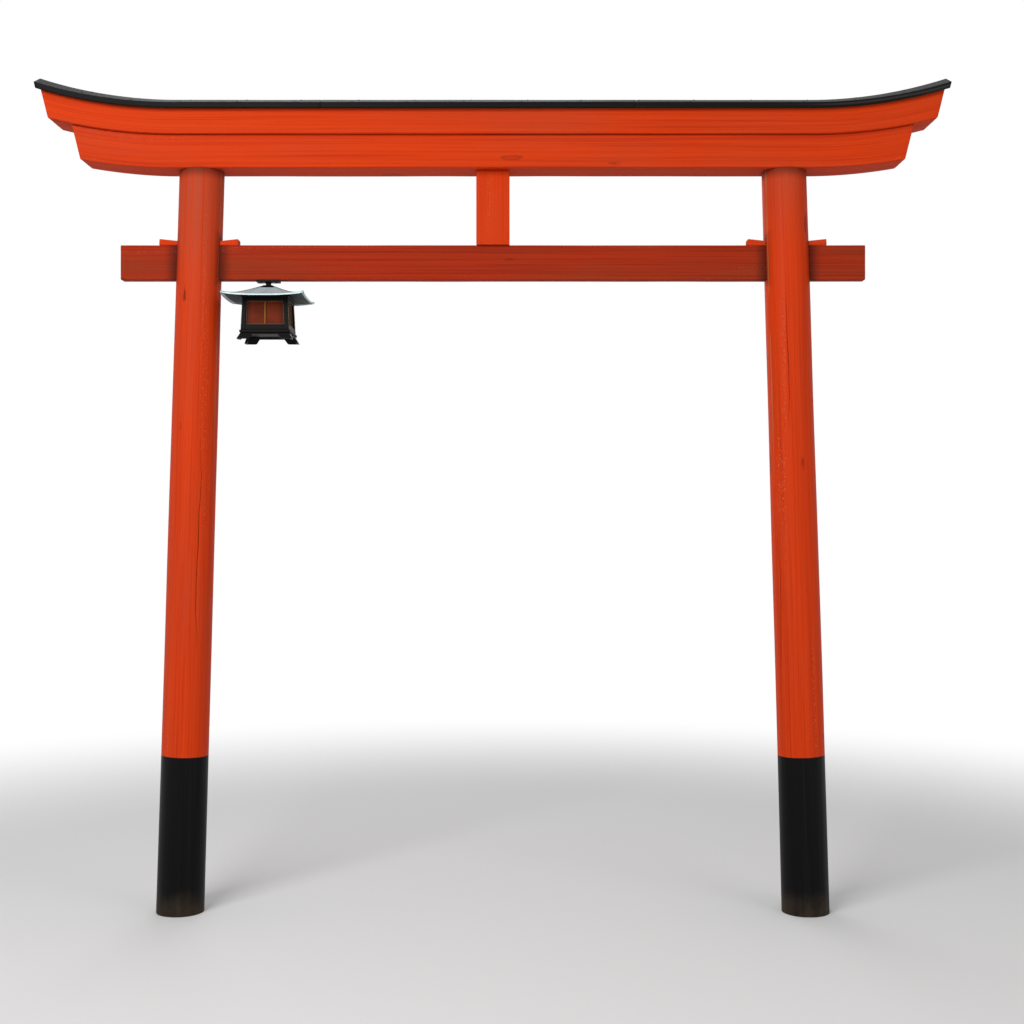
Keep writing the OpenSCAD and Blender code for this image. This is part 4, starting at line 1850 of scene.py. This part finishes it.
    def roof_skin(self) -> Skin:
        """The sheet roof with rolled hips and a turned-down lip along its eaves.

        Rows run from the peak down the upper face, round the lip and back up the lower face,
        and columns run round the square. Each hip carries a roll that stands out by
        2.6 mm * exp(-(distance from the hip / 4.5 mm)^2).

        Returns:
            The roof's skin.
        """
        x, y, corner = self.around(0.012, 26)
        half, peak = self.roof_w / 2.0, self.peak / self.roof_w
        out = np.concatenate([[0.3 * peak, peak], np.linspace(peak, 1.0, 26)[1:]])
        column = np.broadcast_to(corner, (out.size, corner.size))
        rows = np.broadcast_to(out[:, None], column.shape)
        base = self.roof_height(np.maximum(rows, peak), column)
        hip = np.abs(np.abs(x) - np.abs(y))[None] * rows * half / math.sqrt(2.0)
        grown = np.clip((rows - peak) / 0.1, 0.0, 1.0)
        high = mm(2.6)
        roll = high * np.exp(-((hip / mm(4.5)) ** 2)) * grown
        at_edge = rows > 0.995
        over = self.sheet * np.where(at_edge, 0.75, 1.0)
        under = self.sheet * np.where(at_edge, 0.25, 0.0)
        edge_z = self.roof_height(np.ones_like(corner), corner)
        upper = np.stack([x * rows * half, y * rows * half, base + over + roll], axis=2)
        lip = [
            np.stack([x * half * out, y * half * out, edge_z + self.sheet * share], axis=1)[None]
            for out, share in ((1.004, 0.2), (1.004, -0.9), (0.996, -0.9), (0.996, 0.1))
        ]
        lower = np.stack([x * rows * half, y * rows * half, base + under], axis=2)[::-1][1:]
        grid = np.concatenate([upper, *lip, lower])
        marks = np.zeros_like(grid)
        marks[: rows.shape[0], :, 2] = roll / high
        # marks the sheet's lower face, which the tin paints dark as shade
        marks[-lower.shape[0] + 1 :, :, 1] = 1.0
        return Skin(crease=34.0).add(grid + [self.x, 0.0, self.eaves_z], grid, marks)

    def cap_grid(self) -> Array:
        """The dark square cap over the peak: the roof's own height, raised by up to 2.4 mm.

        Returns:
            The grid of its points.
        """
        x, y, corner = self.around(0.08, 12)
        peak, half = self.peak / self.roof_w, self.roof_w / 2.0
        out = peak * np.array([0.35, 0.9, 1.0, 1.3, 1.7, 2.1, 2.14, 2.1, 1.6, 1.0, 0.35])
        raised = mm(1.0) * np.array([2.4, 2.4, 2.3, 2.0, 1.9, 1.8, 1.2, 0.2, 0.2, 0.2, 0.2])
        share = out[:, None] + 0.0 * corner
        z = self.roof_height(np.maximum(share, peak), 0.0 * share) + self.sheet + raised[:, None]
        return np.stack([self.x + x * share * half, y * share * half, self.eaves_z + z], axis=2)

    def slab(self, size: Point, z: float, ease: float, seed: int) -> Shell:
        """A level board about the lantern's axis.

        Args:
            size: Its length, width and thickness.
            z: Height of its underside.
            ease: Radius of its edges.
            seed: Number that picks its wavering.

        Returns:
            The board's shell.
        """
        length, width, thick = size
        level = z + thick / 2.0
        return Stick(
            start=(self.x - length / 2.0, 0.0, level), end=(self.x + length / 2.0, 0.0, level),
            width=width, height=thick, ease=ease, steps=16, rough=mm(0.12), seed=seed,
        ).shell()

    def turning(self, profile: tuple[Pair, ...], core: float, z: float, x: float = 0.0) -> Array:
        """A turned part: a profile carried round an upright axis.

        Args:
            profile: Places out from the core and up from its foot, in millimetres.
            core: Radius of the core.
            z: Height of its foot.
            x: Place of its axis from the lantern's.

        Returns:
            The grid of its points.
        """
        out, up = np.array(profile).T[..., None] / 1000.0
        angle = np.linspace(0.0, 2.0 * np.pi, 40, endpoint=False)
        radius = core + out
        around = [self.x + x + radius * np.cos(angle), radius * np.sin(angle), z + up + 0.0 * angle]
        return np.stack(around, axis=2)

    def mount_skin(self) -> Skin:
        """The plate under the beam with its two screws, and the stem with a collar at each end.

        Returns:
            The skin of them all.
        """
        length, width, thick = self.plate
        diameter, drop = self.stem
        top = SIZES.tie_z - thick
        skin = Skin().add(*self.slab((length, width, thick - mm(0.2)), top, mm(1.5), 90))
        stem = (
            (-5.0, 0.1), (3.4, 0.1), (4.0, 1.0), (3.4, 2.6), (0.0, 3.6),
            (-0.6, 6.5), (0.0, 10.0), (2.6, 11.2), (2.8, 12.8), (-5.0, 12.9),
        )
        skin.add(self.turning(stem, diameter / 2.0, top - drop)).add(self.cap_grid())
        screw = (
            (1.0, 0.5), (5.2, 0.4), (5.2, -0.6), (4.2, -2.0),
            (2.6, -2.8), (1.5, -2.9), (1.3, -1.9), (0.4, -1.9),
        )
        reach = length / 2.0 - mm(13.0)
        for x in (-reach, reach):
            skin.add(self.turning(screw, 0.0, top, x))
        return skin

    def board_skins(self) -> tuple[Skin, Skin]:
        """The floor board, and the ceiling board with the block that carries the roof's peak.

        Returns:
            The skin of the floor and that of the ceiling.
        """
        thick, out = self.floor
        wide = self.body_w + 2.0 * out
        floor = self.slab((wide, wide, thick), self.body_z - thick, mm(1.6), 93)
        thick, out = self.ceiling
        wide = self.width + 2.0 * out
        ceiling = self.slab((wide, wide, thick), self.eaves_z, mm(1.2), 91)
        block, tall = self.peak - mm(1.0), self.roof_h - self.sheet - thick
        rest = self.slab((block, block, tall), self.eaves_z + thick - mm(0.1), mm(1.0), 92)
        return Skin().add(*floor), Skin().add(*ceiling).add(*rest)

    def feet_skin(self) -> Skin:
        """The flared skirt, cut away between its four corner feet.

        Columns run round the square. The section goes up the outer face, which leans in by the
        spread, over the top and down the inner face. Its lower edge is down within a foot's
        width of a corner, and rises from there over the taper to the skirt.

        Returns:
            The skirt's skin.
        """
        high, spread, wide, thick = self.feet
        x, y, _ = self.around(0.02, 90)
        bottom, top = self.body_w / 2.0 + spread, self.body_w / 2.0
        from_corner = bottom * (1.0 - np.minimum(np.abs(x), np.abs(y)))
        way = np.clip((from_corner - wide) / self.foot_taper, 0.0, 1.0)[None]
        low = way * (high - self.skirt)
        ease = mm(1.2)
        share = np.linspace(0.0, 1.0, 8)[:, None]
        outer_z = low + ease + (high - ease * 2.0 - low) * share
        crest = np.full_like(low, high)
        z = np.concatenate([
            low, low + ease * 0.3, outer_z, crest - ease * 0.3, crest, crest, outer_z[::-1], low,
        ])
        lean = (top - bottom) / high
        foot_r, crest_r = bottom + lean * low, np.full_like(low, top)
        face = bottom + lean * outer_z
        radius = np.concatenate([
            foot_r - ease, foot_r - ease * 0.3, face, crest_r - ease * 0.3, crest_r - ease,
            crest_r - thick + ease, face[::-1] - thick, foot_r - thick + ease * 0.6,
        ])
        base = self.body_z - self.floor[0] - high
        grid = np.stack([self.x + x * radius, y * radius, base + z], axis=2)
        grain = np.stack([(x - y) * radius, z, radius], axis=2)
        return Skin().add(grid, grain, ring=True)

    def build(self) -> list[Piece]:
        """Build and dress the lantern from its plate down to its feet.

        Returns:
            The finished objects.
        """
        black = BlackPaint(
            "lantern_black", srgb(14, 12, 11), srgb(34, 28, 24), roughness=0.44, shift=6.0
        )
        iron = BlackPaint(
            "lantern_iron", srgb(15, 15, 16), srgb(30, 29, 29), roughness=0.38, shift=9.0
        )
        bead = BlackPaint(
            "bead_wood", srgb(104, 84, 74), srgb(134, 112, 100), roughness=0.55, shift=10.0
        )
        bar = BlackPaint(
            "bar_wood", srgb(118, 82, 24), srgb(146, 108, 46), roughness=0.55, shift=11.0
        )
        eaves = (self.eaves_z, self.eaves_z + self.roof_h)
        tin, pane = RoofTin("roof_tin", eaves=eaves, middle=self.x), PaneSheet("amber_pane")
        floor, ceiling = self.board_skins()
        rows = [
            (self.mount_skin(), "mount", iron, "black_metal", "plate"),
            (self.roof_skin(), "roof_sheet", tin, "roof_sheet", "roof"),
            (self.bead_skin(), "beads", bead, "black_paint"),
            (self.bar_skin(), "bars", bar, "black_paint"),
            (ceiling, "ceiling_board", black, "black_paint", "ceiling"),
            (self.frame_skin(), "body_frame", black, "black_paint", "frame"),
            (floor, "floor_board", black, "black_paint", "floor"),
            (self.feet_skin(), "foot_skirt", black, "black_paint", "feet"),
        ]
        for quarter in Quarter:
            side, sheet = quarter.name.lower(), self.pane_skin(quarter)
            rows.append((sheet, f"{side}_sheet", pane, "pane_sheet", f"{side}_pane"))
        return [
            dress(skin.mesh(f"lantern_{word}"), finish, slot, *(f"lantern_{node}" for node in cad))
            for skin, word, finish, slot, *cad in rows
        ]


# The place where it is shown


@dataclass(frozen=True)
class Floor(Finish):
    """Plain pale floor, which runs out into white and keeps the object's shadow.

    Attributes:
        tone: Colour of the floor, as the shader takes it.
        near: Distance from the gate's middle up to which it is all floor.
        far: Distance at which it is all white.
    """

    tone: Colour = (0.78, 0.78, 0.78)
    near: float = 2.2
    far: float = 5.2

    def lay(self, nodes: Nodes) -> None:
        """A matt surface near the feet, which runs out into the plain white of the background.

        Args:
            nodes: Node maker.
        """
        x, y, _ = nodes.split(nodes.place())
        away = ((x - SIZES.middle) * (x - SIZES.middle) + y * y) ** 0.5
        share = away.rise(self.near, self.far) * nodes.sight()
        dull = {"Base Color": self.tone, "Roughness": 0.9}
        matt = nodes.node("ShaderNodeBsdfPrincipled", {}, dull)
        white = nodes.node("ShaderNodeEmission", {}, {"Color": (1.0, 1.0, 1.0), "Strength": 1.0})
        both = nodes.node("ShaderNodeMixShader", {}, {0: share, 1: matt, 2: white})
        nodes.node("ShaderNodeOutputMaterial", {}, {"Surface": both})


@dataclass(frozen=True)
class Lamp:
    """A square soft lamp, turned towards the middle of the gate.

    Attributes:
        name: Its name.
        place: Where it hangs.
        size: Length of its side.
        power: Power in watts.
        aim: Height of the place that it is turned to.
    """

    name: str
    place: Point
    size: float
    power: float
    aim: float = 1.5

    def hang(self) -> None:
        """Make the lamp, tilted and then turned so that its -Z axis runs to where it aims."""
        data = bpy.data.lights.new(self.name, "AREA")
        data.shape, data.size, data.energy = "SQUARE", self.size, self.power
        lamp = bpy.data.objects.new(self.name, data)
        lamp.location = self.place
        away = np.array(self.place) - np.array([SIZES.middle, 0.0, self.aim])
        flat = math.hypot(away[0], away[1])
        lamp.rotation_euler = (math.atan2(flat, away[2]), 0.0, math.atan2(away[0], -away[1]))
        bpy.context.scene.collection.objects.link(lamp)


@dataclass(frozen=True)
class Studio:
    """Floor, light and camera.

    Attributes:
        camera: Place of the camera, level with the ground and looking along +Y.
        pixels: Focal length in pixels of the photograph's frame.
        frame_px: Width of that frame.
        lamps: The key lamp at the front on the left, and two weaker ones.
        sky: Strength of the even light from all round.
    """

    camera: Point = (1.205, -5.45, 1.45)
    pixels: float = 1500.0
    frame_px: float = 1024.0
    lamps: tuple[Lamp, ...] = (
        Lamp("key", (-1.6, -5.0, 4.6), 3.2, 265.0),
        Lamp("fill", (5.2, -4.2, 2.6), 3.0, 48.0),
        Lamp("back", (0.2, 4.6, 4.2), 3.0, 48.0),
    )
    sky: float = 0.4

    def floor(self) -> None:
        """A wide level floor under the feet."""
        data = bpy.data.meshes.new("floor")
        edge, under = 40.0, mm(-0.5)
        corners = [(x * edge, y * edge, under) for x, y in ((-1, -1), (1, -1), (1, 1), (-1, 1))]
        data.from_pydata(corners, [], [(0, 1, 2, 3)])
        ground = bpy.data.objects.new("floor", data)
        bpy.context.scene.collection.objects.link(ground)
        data.materials.append(Floor(name="pale_floor").material())

    def sky_light(self) -> None:
        """Even pale light, and plain white where the camera or gloss looks past the object."""
        world = bpy.data.worlds.new("studio")
        bpy.context.scene.world = world
        nodes = Nodes(world)
        white = (1.0, 1.0, 1.0)
        light = nodes.node("ShaderNodeBackground", {}, {"Color": white, "Strength": self.sky})
        shown = nodes.node("ShaderNodeBackground", {}, {"Color": white, "Strength": 1.0})
        both = nodes.node("ShaderNodeMixShader", {}, {0: nodes.sight(), 1: light, 2: shown})
        nodes.node("ShaderNodeOutputWorld", {}, {"Surface": both})

    def view(self) -> None:
        """The camera, whose lens is pixels / frame_px of its sensor's width."""
        data = bpy.data.cameras.new("camera")
        data.sensor_width = 36.0
        data.lens = data.sensor_width * self.pixels / self.frame_px
        camera = bpy.data.objects.new("camera", data)
        camera.location = self.camera
        camera.rotation_euler = (math.radians(90.0), 0.0, 0.0)
        bpy.context.scene.collection.objects.link(camera)
        bpy.context.scene.camera = camera

    def build(self) -> None:
        """Set the floor, the light, the camera and the plain view transform."""
        self.floor()
        self.sky_light()
        for lamp in self.lamps:
            lamp.hang()
        self.view()
        bpy.context.scene.view_settings.view_transform = "Standard"


def posts() -> tuple[Post, Post]:
    """The two logs, each with its own drying checks and wear.

    Returns:
        The left post and the right one.
    """
    left = PostPaint(
        "left_post_vermilion", fade_from=2.05, roughness=0.46, shift=9.3,
        edge=math.radians(-20.0), grown=0.6,
    )
    right = PostPaint(
        "right_post_vermilion", weathering=Weathering.FRESH, fade_from=2.3, chips=0.8,
        roughness=0.46, shift=21.7, edge=math.radians(-26.0), grown=0.8,
    )
    return (
        Post(Side.LEFT, left, seed=3, checks=(
            Check(300.0, 0.95, 1.72, mm(2.2), mm(5.0)),
            Check(20.0, 1.5, 2.15, mm(1.8), mm(4.0)),
            Check(95.0, 0.7, 1.9, mm(3.0), mm(7.0)),
            Check(200.0, 1.1, 2.3, mm(2.0), mm(5.0)),
        )),
        Post(Side.RIGHT, right, seed=7, checks=(
            Check(285.0, 1.75, 2.24, mm(1.6), mm(4.0)),
            Check(325.0, 0.8, 1.45, mm(2.4), mm(5.0)),
            Check(80.0, 1.2, 2.2, mm(2.6), mm(6.0)),
            Check(170.0, 0.7, 1.6, mm(2.0), mm(5.0)),
        )),
    )


def main() -> None:
    """Build the gate's sub-assemblies in order, report each piece, and set the studio."""
    logging.basicConfig(level=logging.INFO, format="%(message)s")
    tie = TieBeam(end_x=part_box("tie_beam")[0].x)
    pieces = [piece for part in (*posts(), tie, Crown(), Lantern()) for piece in part.build()]
    log.info("%d pieces in all", len(pieces))
    Studio().build()


if __name__ == "__main__":
    main()
